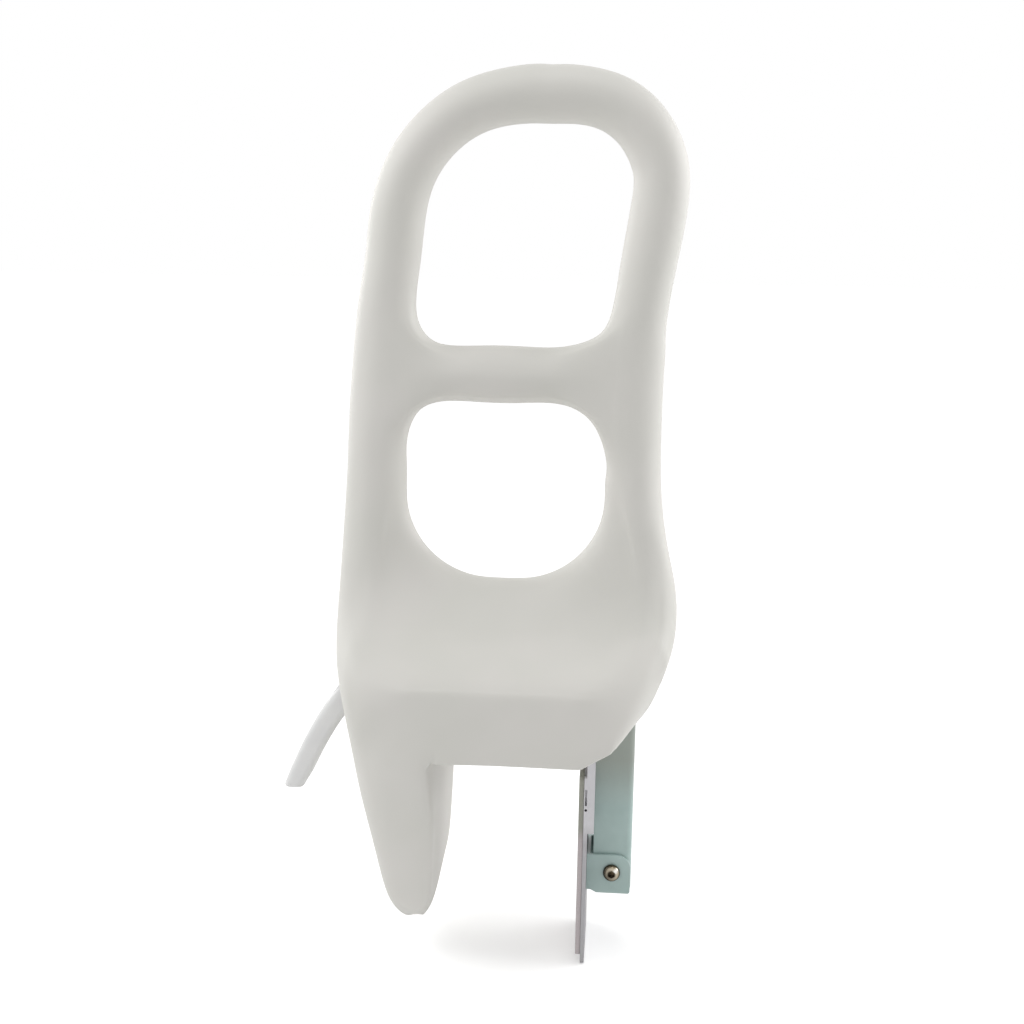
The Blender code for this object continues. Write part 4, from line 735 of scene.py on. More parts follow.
def ease(mesh, start, end, reach, rounds, turn, middle):
    """Even out a mesh near a line."""
    count = len(mesh.vertices)
    facing = np.empty(3 * count)
    mesh.vertex_normals.foreach_get("vector", facing)
    share = np.clip(np.abs(facing.reshape(-1, 3)[:, 1]) / turn - 1, 0, 1)
    place = np.empty(3 * count)
    mesh.vertices.foreach_get("co", place)
    place = place.reshape(-1, 3)
    folded = np.abs(place * (0, 1, 0)) + place * (1, 0, 1)
    start, way = np.array(start), np.subtract(end, start)
    along = np.clip((folded - start) @ way / max(way @ way, 1e-12), 0, 1)
    off = np.linalg.norm(folded - start - along[:, None] * way, axis=1)
    share *= np.clip(1 - (off / reach) ** 2, 0, 1)
    share *= np.clip((place[:, 2] - UNDERSIDE_KEPT) / (EASED_ABOVE - UNDERSIDE_KEPT), 0, 1)
    share *= np.clip((np.abs(place[:, 1]) - middle) / EASED_FULLY, 0, 1)
    ends = np.empty(2 * len(mesh.edges), dtype=int)
    mesh.edges.foreach_get("vertices", ends)
    near = np.bincount(ends)[:, None]
    one, two = ends.reshape(-1, 2)[share[ends.reshape(-1, 2)].any(axis=1)].T
    for _ in range(rounds):
        drawn = np.zeros_like(place)
        np.add.at(drawn, one, place[two])
        np.add.at(drawn, two, place[one])
        place += EASING * share[:, None] * (drawn / near - place)
    mesh.vertices.foreach_set("co", place.ravel())
    mesh.update()


for zone in EASED:
    ease(body.data, *zone)

# The handle's dished pocket, the screw's bore, the space that the guide channel fills and the slot
# that the arm runs in
AXIS = (0.0, SCREW_Z)
SEAT_ROUND = 0.002
OVERCUT = 0.01  # how far a cutting tool goes past the surface
UNDERCUT = 0.005  # the same below the underside
BORE_STOP = 0.001  # from the bore's end to the channel
CHANNEL_ROOM = 0.002  # past the channel's right end
radius = SEAT_DIAMETER / 2
profile = [
    (SEAT_X - SEAT_ROUND * inward, radius - SEAT_ROUND * (1 - rise)) for rise, inward in quarter(6)
]
reach = SEAT_X - SEAT_WALL - cad_box[0][0]
profile += [(SEAT_X - SEAT_WALL, radius), (SEAT_X - SEAT_WALL - reach, radius + reach)]
combine(body, turned(profile, "X", AXIS, sides=96))
low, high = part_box("handle_bush")
flange = (high - low).y / 2 + CLEARANCE
under = SEAT_X + BUSH_FLANGE_THICKNESS + CLEARANCE
bore = BUSH_OUTER / 2 + CLEARANCE
low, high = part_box("guide_channel")
bore_end = low.x - BORE_STOP
profile = [(SEAT_X - OVERCUT, flange), (under, flange), (under, bore), (bore_end, bore)]
combine(body, turned(profile, "X", AXIS, sides=48))
corner = (low.x - 2 * SHEET, low.y - CLEARANCE, low.z - CLEARANCE)
combine(body, box(corner, (high.x + CHANNEL_ROOM, high.y + CLEARANCE, high.z + CLEARANCE)))
corner = (BASE_RIGHT_X + OVERCUT, SLOT_WIDTH / 2, SLOT_ROOF_Z)
combine(body, box((SLOT_LEFT_X, -SLOT_WIDTH / 2, -UNDERCUT), corner))
settle(body)
shade_smooth(body.data, SHARP_ANGLE)


def mottled(tree, place, size, detail, *stops):
    """Noise in patches of a real size, and the colour it gives between (level, colour) stops."""
    cloud = add_node(tree, "TexNoise", Vector=(place, "Object"), Scale=1 / size, Detail=detail)
    tint = add_node(tree, "ValToRGB", Fac=(cloud, "Fac"))
    for stop, (level, colour) in zip(tint.color_ramp.elements, stops):
        stop.position, stop.color = level, srgb(colour)
    return cloud, tint


# Polyethylene from a mould: low gloss, with a fine grain that breaks up the light and a faint slow
# change of tone. Such a grain is often about 0.3 mm; it is drawn at 0.8 mm so that it shows
GRAIN = 0.0008
GRAIN_DEPTH = 0.00005
CLOUD = 0.060
polyethylene, tree, place = new_material("moulded_polyethylene")
cloud, tint = mottled(tree, place, CLOUD, 2.0, (0.35, "#d3d2cc"), (0.65, "#d7d5d0"))
fine = {"Scale": 1 / GRAIN, "Detail": 3.0, "Roughness": 0.6}
grain = add_node(tree, "TexNoise", Vector=(place, "Object"), **fine)
patch = add_node(tree, "MapRange", Value=(grain, "Fac"), To_Min=0.46, To_Max=0.60)
bump = add_node(tree, "Bump", Height=(grain, "Fac"), Strength=0.5, Distance=GRAIN_DEPTH)
surface = {"Base_Color": (tint, "Color"), "Roughness": (patch, 0), "Normal": (bump, 0)}
shader = add_node(tree, "BsdfPrincipled", IOR=1.51, **surface)
add_node(tree, "OutputMaterial", Surface=(shader, 0))
body.data.materials.append(polyethylene)
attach(body, "rail")
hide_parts("body_shell")

# Bushes and thrust washer
# Turned nylon bushes with a flange at both ends of the screw's bore, pressed into the moulding, and
# a steel washer that takes the thrust of the handle. They show only in the pocket and the slot.
NYLON_CLOUD = 0.004
nylon, tree, place = new_material("turned_nylon")
cloud, tint = mottled(tree, place, NYLON_CLOUD, 2.0, (0.0, "#dcd9cd"), (1.0, "#e6e3d9"))
patch = add_node(tree, "MapRange", Value=(cloud, "Fac"), To_Min=0.38, To_Max=0.50)
surface = {"Base_Color": (tint, "Color"), "Roughness": (patch, 0)}
shader = add_node(tree, "BsdfPrincipled", IOR=1.53, **surface)
add_node(tree, "OutputMaterial", Surface=(shader, 0))


def dress(material, *names):
    """Give CAD nodes that are shown as they are a material."""
    for name in names:
        mesh = nodes[name].data
        mesh.materials.clear()
        mesh.materials.append(material)


dress(nylon, "handle_bush", "guide_bush")

# Stainless steel off the lathe: a bright metal whose fine turning lines spread the highlight. The
# real lines are about 0.1 mm apart; they are drawn at 0.5 mm so that they show
TURNING = 0.0005
TURNING_DEPTH = 0.00001
stainless, tree, place = new_material("turned_stainless_steel")
lines = add_node(tree, "TexNoise", Vector=(place, "Object"), Scale=1 / TURNING, Detail=2.0)
patch = add_node(tree, "MapRange", Value=(lines, "Fac"), To_Min=0.20, To_Max=0.36)
bump = add_node(tree, "Bump", Height=(lines, "Fac"), Strength=0.3, Distance=TURNING_DEPTH)
surface = {"Base_Color": srgb("#c3c2be"), "Roughness": (patch, 0), "Normal": (bump, 0)}
shader = add_node(tree, "BsdfPrincipled", Metallic=1.0, **surface)
add_node(tree, "OutputMaterial", Surface=(shader, 0))
dress(stainless, "thrust_washer")

# Guide channel
# A lipped channel folded from zinc-plated sheet and let into the base. Its lips carry the sliding
# block, and two screws driven up through its roof hold it in the moulding.
GUIDE_BEND = 0.0035  # outside of the folds
GUIDE_LIP_GAP = 0.0284
GUIDE_EDGE = 0.0002
GUIDE_SCREW_XS = (0.020, 0.078)
GUIDE_SCREW_DIAMETER = 0.004
GUIDE_SCREW_HEAD = (0.0072, 0.0022)  # diameter and height
low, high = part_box("guide_channel")
half = high.y
inner = half - SHEET
lip = GUIDE_LIP_GAP / 2
fold = GUIDE_BEND - SHEET
above = low.z + SHEET
below = high.z - SHEET
right_side = [(half, high.z, GUIDE_BEND), (half, low.z, GUIDE_BEND), (lip, low.z, 0)]
right_side += [(lip, above, 0), (inner, above, fold), (inner, below, fold)]
outline = right_side + [(-y, z, bend) for y, z, bend in right_side[::-1]]
guide = new_piece("guide", slab(rounded_outline(outline, 6), "X", low.x, high.x))
hole = GUIDE_SCREW_DIAMETER / 2 + CLEARANCE
for x in GUIDE_SCREW_XS:
    drill(guide, "Z", (x, 0.0), hole, high.z - 2 * SHEET, high.z + SHEET, sides=32)
round_edges(guide, GUIDE_EDGE)
settle(guide)

# Zinc plate: a pale metal, mottled where the plating is a little duller, and greyer low down, as it
# is in the photograph
GREY_BELOW = -0.058
BRIGHT_ABOVE = -0.045
GREY_SHADE = 0.72
ZINC_PATCH = 0.006
zinc, tree, place = new_material("zinc_plated_steel")
cloud, tint = mottled(tree, place, ZINC_PATCH, 4.0, (0.3, "#c4c3c6"), (0.7, "#cbcacd"))
level = add_node(tree, "SeparateXYZ", Vector=(place, "Object"))
greying = {"From_Min": GREY_BELOW, "From_Max": BRIGHT_ABOVE, "To_Min": GREY_SHADE, "To_Max": 1.0}
grey = add_node(tree, "MapRange", Value=(level, "Z"), **greying)
scale = {"operation": "SCALE"}
shade = add_node(tree, "VectorMath", scale, Vector=(tint, "Color"), Scale=(grey, 0))
patch = add_node(tree, "MapRange", Value=(cloud, "Fac"), To_Min=0.30, To_Max=0.48)
surface = {"Base_Color": (shade, 0), "Roughness": (patch, 0)}
shader = add_node(tree, "BsdfPrincipled", Metallic=1.0, **surface)
add_node(tree, "OutputMaterial", Surface=(shader, 0))
guide.data.materials.append(zinc)
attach(guide, "rail")
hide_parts("guide_channel")

# Guide screws
# Pan-head stainless screws with a cross recess, driven up through the channel's roof into the base.
CROSS_WIDTH = 0.0008
CROSS_REACH = 0.0019
CROSS_DEPTH = 0.6  # of the head's height
PAN_FLAT = 0.55  # of the head's radius
PAN_ROUND = 0.7  # of its height
rim = GUIDE_SCREW_HEAD[0] / 2
height = GUIDE_SCREW_HEAD[1]
shank = GUIDE_SCREW_DIAMETER / 2
for k, x in enumerate(GUIDE_SCREW_XS):
    name = f"guide_screw_{k + 1}"
    low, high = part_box(name)
    edge = low.z + height - CLEARANCE
    profile = [
        (low.z + height * PAN_ROUND * inward, rim * (PAN_FLAT + (1 - PAN_FLAT) * rise))
        for rise, inward in quarter(6)
    ]
    profile += [(edge, rim), (edge, shank), (high.z - shank / 2, shank), (high.z, shank / 2)]
    shape = turned(profile, "Z", (x, 0.0), sides=32, start=0)
    screw = new_piece(f"{name}_looks", shape, stainless)
    depth = low.z + height * CROSS_DEPTH
    for across, along in ((CROSS_WIDTH / 2, CROSS_REACH), (CROSS_REACH, CROSS_WIDTH / 2)):
        combine(screw, box((x - across, -along, low.z - height), (x + across, along, depth)))
    settle(screw)
    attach(screw, "rail")
    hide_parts(name)

# Lead screw and collar
# A stainless screw with a two-start thread, turned by the handle. It runs through the sliding
# block, and a plated collar behind the inner bush keeps it from moving endways.
dress(stainless, "lead_screw")
dress(zinc, "screw_collar")

# Handle lever
# A cranked lever moulded in smooth white plastic, in one with its hub. It narrows towards a rounded
# tip, and its hub turns in the dished pocket of the base.
HUB_DIAMETER = 0.024
HUB_LENGTH = 0.011
HUB_ROUND = 0.0016
SCREW_DIAMETER = 0.010
WASHER_THICKNESS = 0.001
PIN_DIAMETER = 0.004
CAP_DIAMETER = 0.019
CAP_THICKNESS = 0.0018
CAP_CHAMFER = 0.0012
LEVER_WIDTH = 0.024  # at the hub, along the bath wall
LEVER_TIP_WIDTH = 0.019
LEVER_THICKNESS = 0.0145
LEVER_TIP_THICKNESS = 0.0125
LEVER_EDGE_RADIUS = 0.0042
LEVER_SHARP_ANGLE = 32
LEVER_PATH = (  # middle line of the lever: X, distance from the screw axis
    (-0.0775, -0.0020),
    (-0.0832, 0.0072),
    (-0.0932, 0.0212),
    (-0.1040, 0.0402),
    (-0.1130, 0.0592),
    (-0.1166, 0.0668),
)
LEVER_STEPS = 10  # sections between two of these points
LEVER_CORNER_STEPS = 8
LEVER_END = (0.0022, 0.0034)  # how far its rounded tip reaches on, and draws in
hub_right = SEAT_X - WASHER_THICKNESS - 2 * CLEARANCE  # just clear of the thrust washer


def lever_line():
    """Points and directions along the lever's middle line, a smooth curve through LEVER_PATH."""
    last = len(LEVER_PATH) - 1
    line = []
    for i in range(last):
        p0, p1, p2, p3 = (np.array(LEVER_PATH[min(max(i + j, 0), last)]) for j in (-1, 0, 1, 2))
        for k in range(LEVER_STEPS):
            t = k / LEVER_STEPS
            bend = 2 * p0 - 5 * p1 + 4 * p2 - p3
            twist = 3 * p1 - p0 - 3 * p2 + p3
            line.append((2 * p1 + (p2 - p0) * t + bend * t**2 + twist * t**3) / 2)
    line.append(np.array(LEVER_PATH[last]))
    ways = []
    level = np.array((0.0, 1.0))
    bend, end = LEVER_PATH[-2][1], LEVER_PATH[-1][1]
    for i in range(len(line)):
        way = line[min(i + 1, len(line) - 1)] - line[max(i - 1, 0)]
        way = way / np.linalg.norm(way)
        # Over the last stretch the sections turn until the tip is cut level
        share = max((line[i][1] - bend) / (end - bend), 0.0)
        ways.append(way + (level - way) * share)
    return line, ways


def rounded_section(width, thickness, radius, steps):
    """Rounded rectangle about the middle, as (across, through) pairs."""
    points = []
    for k, (sx, sy) in enumerate(((1, 1), (-1, 1), (-1, -1), (1, -1))):
        for j in range(steps + 1):
            angle = math.pi / 2 * (k + j / steps)
            across = sx * (width / 2 - radius) + radius * math.cos(angle)
            through = sy * (thickness / 2 - radius) + radius * math.sin(angle)
            points.append((across, through))
    return points


stations = []
for point, way in zip(*lever_line()):
    share = point[1] / LEVER_PATH[-1][1]
    width = LEVER_WIDTH + (LEVER_TIP_WIDTH - LEVER_WIDTH) * share
    thick = LEVER_THICKNESS + (LEVER_TIP_THICKNESS - LEVER_THICKNESS) * share
    stations.append((point, way, width, thick, LEVER_EDGE_RADIUS))
for rise, inward in quarter(6)[1:]:
    onwards = point + way * LEVER_END[0] * rise
    inwards = LEVER_END[1] * inward
    section = (width - 2 * inwards, thick - 2 * inwards, LEVER_EDGE_RADIUS - inwards)
    stations.append((onwards, way, *section))
bm = bmesh.new()
rings = []
for point, way, width, thick, radius in stations:
    ring = []
    for across, through in rounded_section(width, thick, radius, LEVER_CORNER_STEPS):
        x = min(point[0] + way[1] * through, hub_right)
        ring.append(bm.verts.new((x, across, SCREW_Z - point[1] + way[0] * through)))
    rings.append(ring)
lever = new_piece("lever", skin(bm, rings))
hub_left = hub_right - HUB_LENGTH
radius = HUB_DIAMETER / 2
profile = [
    (hub_left + HUB_ROUND * (1 - rise), radius - HUB_ROUND * inward) for rise, inward in quarter(6)
]
profile = profile[::-1] + [(hub_right, radius)]
combine(lever, turned(profile, "X", AXIS, sides=96), "UNION")
outside = hub_left - HUB_DIAMETER
middle = ((hub_left + hub_right) / 2, SCREW_Z)
for axis, centre, diameter, first, last in (
    ("X", AXIS, SCREW_DIAMETER, outside, hub_right + HUB_LENGTH),
    ("X", AXIS, CAP_DIAMETER, outside, hub_left),
    ("Y", middle, PIN_DIAMETER, -HUB_DIAMETER, HUB_DIAMETER),
):
    drill(lever, axis, centre, diameter / 2 + CLEARANCE, first, last, sides=64)
settle(lever)
shade_smooth(lever.data, LEVER_SHARP_ANGLE)

# Polypropylene from a polished mould: whiter and glossier than the body, with slow cloudy patches
LEVER_CLOUD = 0.02
lever_plastic, tree, place = new_material("smooth_polypropylene")
cloud, tint = mottled(tree, place, LEVER_CLOUD, 2.0, (0.3, "#dddddd"), (0.7, "#e3e3e2"))
patch = add_node(tree, "MapRange", Value=(cloud, "Fac"), To_Min=0.34, To_Max=0.44)
surface = {"Base_Color": (tint, "Color"), "Roughness": (patch, 0)}
shader = add_node(tree, "BsdfPrincipled", IOR=1.49, **surface)
add_node(tree, "OutputMaterial", Surface=(shader, 0))
lever.data.materials.append(lever_plastic)
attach(lever, "handle")
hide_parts("handle_lever")

# Hub cap
# A shallow domed cap in the lever's plastic, pressed in over the end of the screw.
low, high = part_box("hub_cap")
rim = (high.y - low.y) / 2
shoulder = high.x - (CAP_THICKNESS - CAP_CHAMFER) / 2
dome = (CAP_THICKNESS + CAP_CHAMFER) / 2
profile = [(high.x, rim)]
profile += [(shoulder - dome * rise, rim - 2 * CAP_CHAMFER * inward) for rise, inward in quarter(8)]
cap = new_piece("cap", turned(profile, "X", AXIS, sides=96), lever_plastic)
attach(cap, "handle")
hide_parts("hub_cap")

# Handle pin
# A plain stainless cross pin, driven through the hub and the screw.
PIN_CHAMFER = 0.2  # of its radius
low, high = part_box("handle_pin")
radius = (high.x - low.x) / 2
chamfer = radius * PIN_CHAMFER
profile = [(low.y, radius - chamfer), (low.y + chamfer, radius)]
profile += [(high.y - chamfer, radius), (high.y, radius - chamfer)]
middle = ((low.x + high.x) / 2, (low.z + high.z) / 2)
pin = new_piece("pin", turned(profile, "Y", middle, sides=48), stainless)
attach(pin, "handle")
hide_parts("handle_pin")

# Nut block
# A block machined from black acetal that slides in the channel, with a tongue that hangs through
# the slot into the arm. Milling leaves fine marks.
MILLING_MARK = 0.002
acetal, tree, place = new_material("machined_acetal")
marks, tint = mottled(tree, place, MILLING_MARK, 2.0, (0.0, "#26272a"), (1.0, "#303134"))
patch = add_node(tree, "MapRange", Value=(marks, "Fac"), To_Min=0.34, To_Max=0.50)
surface = {"Base_Color": (tint, "Color"), "Roughness": (patch, 0)}
shader = add_node(tree, "BsdfPrincipled", IOR=1.48, **surface)
add_node(tree, "OutputMaterial", Surface=(shader, 0))
dress(acetal, "nut_block")

# Clamp arm
# A channel folded from 2 mm steel sheet, open towards the bath wall, with a rounded lower end. It
# is riveted to the block's tongue and finished in baked grey-green enamel.
ARM_LEFT_X = 0.0705
ARM_RIGHT_X = 0.0940
ARM_TOP_Z = 0.0205
ARM_WIDTH = 0.027
ARM_SHEET = 0.002
ARM_FOLD_RADIUS = 0.0035
ARM_EDGE = 0.00035  # break on the sheet's cut edges
ARM_END_ROUND = 0.98  # round of its lower end, of the pivot's distance from the edge
RIVET_DIAMETER = 0.005
RIVET_HEAD = (0.0085, 0.0014)  # diameter and height
RIVET_PLACES = ((0.0778, 0.0142), (0.0778, 0.0044))
PIVOT_X = 0.0821
PIVOT_Z = -0.081
PIVOT = (PIVOT_X, PIVOT_Z)
BOLT_DIAMETER = 0.006


def round_folds(bm, beyond, radius, steps):
    """Round the long upright edges beyond a place along X."""
    folds = [e for e in bm.edges if all(v.co.x > beyond for v in e.verts)]
    folds = [e for e in folds if abs(e.verts[0].co.z - e.verts[1].co.z) > ARM_WIDTH]
    bmesh.ops.bevel(bm, geom=folds, offset=radius, segments=steps, affect="EDGES", profile=0.5)
    return bm


end_radius = PIVOT_X - ARM_LEFT_X
bottom = PIVOT_Z - end_radius
half = ARM_WIDTH / 2
drawn = [(ARM_LEFT_X, ARM_TOP_Z, 0), (ARM_LEFT_X, bottom, end_radius * ARM_END_ROUND)]
drawn += [(ARM_RIGHT_X, bottom, 0), (ARM_RIGHT_X, ARM_TOP_Z, 0)]
shape = slab(rounded_outline(drawn, 20), "Y", -half, half)
arm = new_piece("arm", round_folds(shape, ARM_RIGHT_X - CLEARANCE, ARM_FOLD_RADIUS, 8))
inner = half - ARM_SHEET
web = ARM_RIGHT_X - ARM_SHEET
inside = box((ARM_LEFT_X - half, -inner, bottom - half), (web, inner, ARM_TOP_Z + half))
combine(arm, round_folds(inside, web - CLEARANCE, ARM_FOLD_RADIUS - ARM_SHEET, 6))
holes = [(place, RIVET_DIAMETER) for place in RIVET_PLACES] + [(PIVOT, BOLT_DIAMETER)]
for centre, diameter in holes:
    drill(arm, "Y", centre, diameter / 2 + CLEARANCE, -ARM_WIDTH, ARM_WIDTH, sides=40)
round_edges(arm, ARM_EDGE, 3)
settle(arm)

# Baked enamel: a smooth grey-green coat with a faint orange-peel surface under a glossy skin. Near
# the
# base it turns darker and greyer: painted shade, where the base above shades the arm
ENAMEL_UNSHADED_BELOW = -0.040
ENAMEL_SHADED_ABOVE = -0.010
PEEL_DEPTH = 0.00004
ENAMEL_CLOUD = 0.012
PEEL_SIZE = 0.0015
enamel, tree, place = new_material("baked_enamel")
cloud, tint = mottled(tree, place, ENAMEL_CLOUD, 2.0, (0.3, "#a5bbb7"), (0.7, "#adc3bf"))
level = add_node(tree, "SeparateXYZ", Vector=(place, "Object"))
painted_arm_shade = add_node(tree, "MapRange", Value=(level, "Z"), From_Min=ENAMEL_UNSHADED_BELOW, From_Max=ENAMEL_SHADED_ABOVE)
colour_mix = {"data_type": "RGBA"}
# 9ba39b is the painted shade, at full strength at the top of the arm under the base
tones = {"at_6": (tint, "Color"), "at_7": srgb("#9ba39b")}
shade = add_node(tree, "Mix", colour_mix, at_0=(painted_arm_shade, 0), **tones)
peel = add_node(tree, "TexNoise", Vector=(place, "Object"), Scale=1 / PEEL_SIZE, Detail=1.0)
patch = add_node(tree, "MapRange", Value=(cloud, "Fac"), To_Min=0.28, To_Max=0.38)
bump = add_node(tree, "Bump", Height=(peel, "Fac"), Strength=0.3, Distance=PEEL_DEPTH)
surface = {"Base_Color": (shade, 2), "Roughness": (patch, 0), "Normal": (bump, 0)}
shader = add_node(tree, "BsdfPrincipled", Coat_Weight=0.4, **surface)
add_node(tree, "OutputMaterial", Surface=(shader, 0))
arm.data.materials.append(enamel)
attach(arm, "jaw")
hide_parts("clamp_arm")

# Arm rivets
# Round-headed steel rivets, closed on both sides of the arm.
RIVET_DRAW_IN = 0.9  # of the head's radius, over its height
seat = ARM_WIDTH / 2 + CLEARANCE
radius, height = RIVET_HEAD[0] / 2, RIVET_HEAD[1]
head = [
    (seat + height * rise, radius * (1 - RIVET_DRAW_IN * inward)) for rise, inward in quarter(8)
]
profile = [(-place, radius) for place, radius in head[::-1]]
profile += [(-seat, RIVET_DIAMETER / 2), (seat, RIVET_DIAMETER / 2)] + head
for k, centre in enumerate(RIVET_PLACES):
    name = f"arm_rivet_{k + 1}"
    rivet = new_piece(f"{name}_looks", turned(profile, "Y", centre, sides=48), stainless)
    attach(rivet, "jaw")
    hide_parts(name)

# Pivot bolt
# A stainless button-head bolt with a hexagon socket, through the bracket, the spacer and the arm.
BOLT_HEAD_DIAMETER = 0.0105
BOLT_HEAD_HEIGHT = 0.0033
BOLT_HEAD_FLAT = 0.52  # of its radius
BOLT_HEAD_ROUND = 0.86  # of its height
BOLT_CHAMFER = 0.0008
BOLT_EDGE = 0.00012
SOCKET_ACROSS = 0.0040  # flats of the hexagon socket
SOCKET_DEPTH = 0.0020
low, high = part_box("pivot_bolt")
crown = low.y
seat = crown + BOLT_HEAD_HEIGHT
shank = BOLT_DIAMETER / 2
head = BOLT_HEAD_DIAMETER / 2
flat = head * BOLT_HEAD_FLAT
dome = BOLT_HEAD_HEIGHT * BOLT_HEAD_ROUND
profile = [(crown + dome * inward, flat + (head - flat) * rise) for rise, inward in quarter(12)]
profile += [(seat, head), (seat, shank), (high.y - BOLT_CHAMFER, shank)]
profile.append((high.y, shank - BOLT_CHAMFER))
# Steel that looks lightly oiled, brown all over, with light and shade painted into its tones:
# painted shade in the socket and round the rim, painted light on the dome, more so up and to the
# right, with a bright spot there.
# The spot is most likely a lamp's highlight. It is drawn as colour, as the soft boxes leave none
# Brown tones across the head's radius: painted shade in the socket, up to 0.36, and round the rim
BOLT_TONES_AND_PAINTED_SHADE = (
    (0.36, "#3a3226"),
    (0.99, "#3f382c"),
    (0.46, "#7d7668"),
    (0.60, "#989080"),
    (0.76, "#857d6d"),
    (0.90, "#544d3f"),
)
PAINTED_LIGHT_SIDE = (0.8, 0.6, 0.0)
SPOT = (0.48 * head, 0.42 * head, 0.0)
SPOT_FULL, SPOT_REACH = 0.10 * head, 0.36 * head
WANDER = 0.0004  # how far the edges of the tones stray
FILM_SIZE = 0.003
oiled, tree, place = new_material("oiled_steel")
level = add_node(tree, "SeparateXYZ", Vector=(place, "Object"))
across = add_node(tree, "Math", {"operation": "SUBTRACT"}, at_0=(level, "X"), at_1=PIVOT_X)
along = add_node(tree, "Math", {"operation": "SUBTRACT"}, at_0=(level, "Z"), at_1=PIVOT_Z)
spread = add_node(tree, "CombineXYZ", X=(across, 0), Y=(along, 0))
off = add_node(tree, "VectorMath", {"operation": "LENGTH"}, at_0=(spread, 0))
film = add_node(tree, "TexNoise", Vector=(place, "Object"), Scale=1 / FILM_SIZE, Detail=2.0)
wander = add_node(tree, "MapRange", Value=(film, "Fac"), To_Min=-WANDER, To_Max=WANDER)
reach = add_node(tree, "Math", {"operation": "ADD"}, at_0=(off, "Value"), at_1=(wander, 0))
share = add_node(tree, "MapRange", Value=(reach, 0), From_Max=head)
tint = add_node(tree, "ValToRGB", Fac=(share, 0))
stops = tint.color_ramp.elements
for stop, (position, colour) in zip(stops, BOLT_TONES_AND_PAINTED_SHADE):
    stop.position, stop.color = position, srgb(colour)
for position, colour in BOLT_TONES_AND_PAINTED_SHADE[2:]:
    stops.new(position).color = srgb(colour)
along_side = {"operation": "DOT_PRODUCT"}
way = add_node(tree, "VectorMath", {"operation": "NORMALIZE"}, at_0=(spread, 0))
side = add_node(tree, "VectorMath", along_side, at_0=(way, 0), at_1=PAINTED_LIGHT_SIDE)
# Painted light: the tones are scaled up towards the upper right and down on the far side
painted_light_scale = add_node(tree, "MapRange", Value=(side, "Value"), From_Min=-1.0, To_Min=0.6, To_Max=2.0)
shade = add_node(tree, "VectorMath", scale, Vector=(tint, "Color"), Scale=(painted_light_scale, 0))
far = add_node(tree, "VectorMath", {"operation": "DISTANCE"}, at_0=(spread, 0), at_1=SPOT)
fading = {"From_Min": SPOT_FULL, "From_Max": SPOT_REACH, "To_Min": 1.0, "To_Max": 0.0}
bright = add_node(tree, "MapRange", Value=(far, "Value"), **fading)
tones = {"at_6": (shade, 0), "at_7": srgb("#fbf8f2")}
shade = add_node(tree, "Mix", colour_mix, at_0=(bright, 0), **tones)
patch = add_node(tree, "MapRange", Value=(film, "Fac"), To_Min=0.14, To_Max=0.26)
surface = {"Base_Color": (shade, 2), "Roughness": (patch, 0)}
shader = add_node(tree, "BsdfPrincipled", Metallic=1.0, **surface)
add_node(tree, "OutputMaterial", Surface=(shader, 0))
bolt = new_piece("bolt", turned(profile, "Y", PIVOT, sides=96), oiled)
socket = circle(PIVOT, SOCKET_ACROSS / math.sqrt(3), 6)
combine(bolt, slab(socket, "Y", crown - SOCKET_DEPTH, crown + SOCKET_DEPTH))
round_edges(bolt, BOLT_EDGE)
settle(bolt)
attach(bolt, "jaw")
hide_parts("pivot_bolt")

# Pivot spacer, washer and nut
# A plated tube that keeps the arm's sides apart, and a washer and a chamfered hexagon nut at the
# bolt's far end.
NUT_FACE = 0.90  # radius of its round end face, of that over its corners
NUT_CHAMFER = 0.6  # height of the chamfer, of its width
dress(zinc, "pivot_spacer")
dress(stainless, "pivot_washer")
low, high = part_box("pivot_nut")
corner = (high.z - low.z) / 2
nut = new_piece("nut", slab(circle(PIVOT, corner, 6), "Y", low.y, high.y), stainless)
face = corner * NUT_FACE
rise = (corner - face) * NUT_CHAMFER
cone = [(low.y, face), (low.y + rise, corner), (high.y - rise, corner), (high.y, face)]
combine(nut, turned(cone, "Y", PIVOT, sides=64), "INTERSECT")
drill(nut, "Y", PIVOT, shank + CLEARANCE, low.y - shank, high.y + shank, sides=48)
settle(nut)
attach(nut, "jaw")
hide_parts("pivot_nut")

# Clamp plate
# Zinc-plated sheet that presses on the bath wall through its pad. Its upper sides are folded back
# as stiffening flanges, each with a narrow slot and a small hole beside the fold.
PAD_FACE_X = 0.0613
PAD_THICKNESS = 0.0028
PLATE_THICKNESS = 0.0024
PLATE_WIDTH = 0.060
PLATE_TOP_Z = -0.0150
PLATE_BOTTOM_Z = -0.1350
PLATE_CORNER = 0.0025
PLATE_EDGE = 0.0003
FLANGE_SHEET = 0.002
FLANGE_RIGHT_X = 0.0708
FLANGE_BOTTOM_Z = -0.0510
FLANGE_TOP_Z = -0.0045  # each ends in an ear above the plate's top
FLANGE_EAR_X = 0.0660
FLANGE_CORNER = 0.001
FLANGE_SLOT = (0.0012, 0.010)  # width and height of the slot in each fold
FLANGE_SLOT_DEPTH = 0.006  # of the slot and the hole under it
FLANGE_SLOT_TOP_Z = -0.0234
FLANGE_HOLE_Z = -0.0362
FLANGE_HOLE_DIAMETER = 0.0016
STUD_ZS = (-0.028, -0.112)
STUD_DIAMETER = 0.0045
STUD_HEAD_DIAMETER = 0.010
STUD_HEAD_HEIGHT = 0.0012
STUD_SUNK = 0.0004  # head below the pad's face


def sheet_outline(left, right, bottom, top):
    """Outline of the plate or its pad, with four equal round corners."""
    corners = ((left, top), (left, bottom), (right, bottom), (right, top))
    return rounded_outline([(y, z, PLATE_CORNER) for y, z in corners], 12)


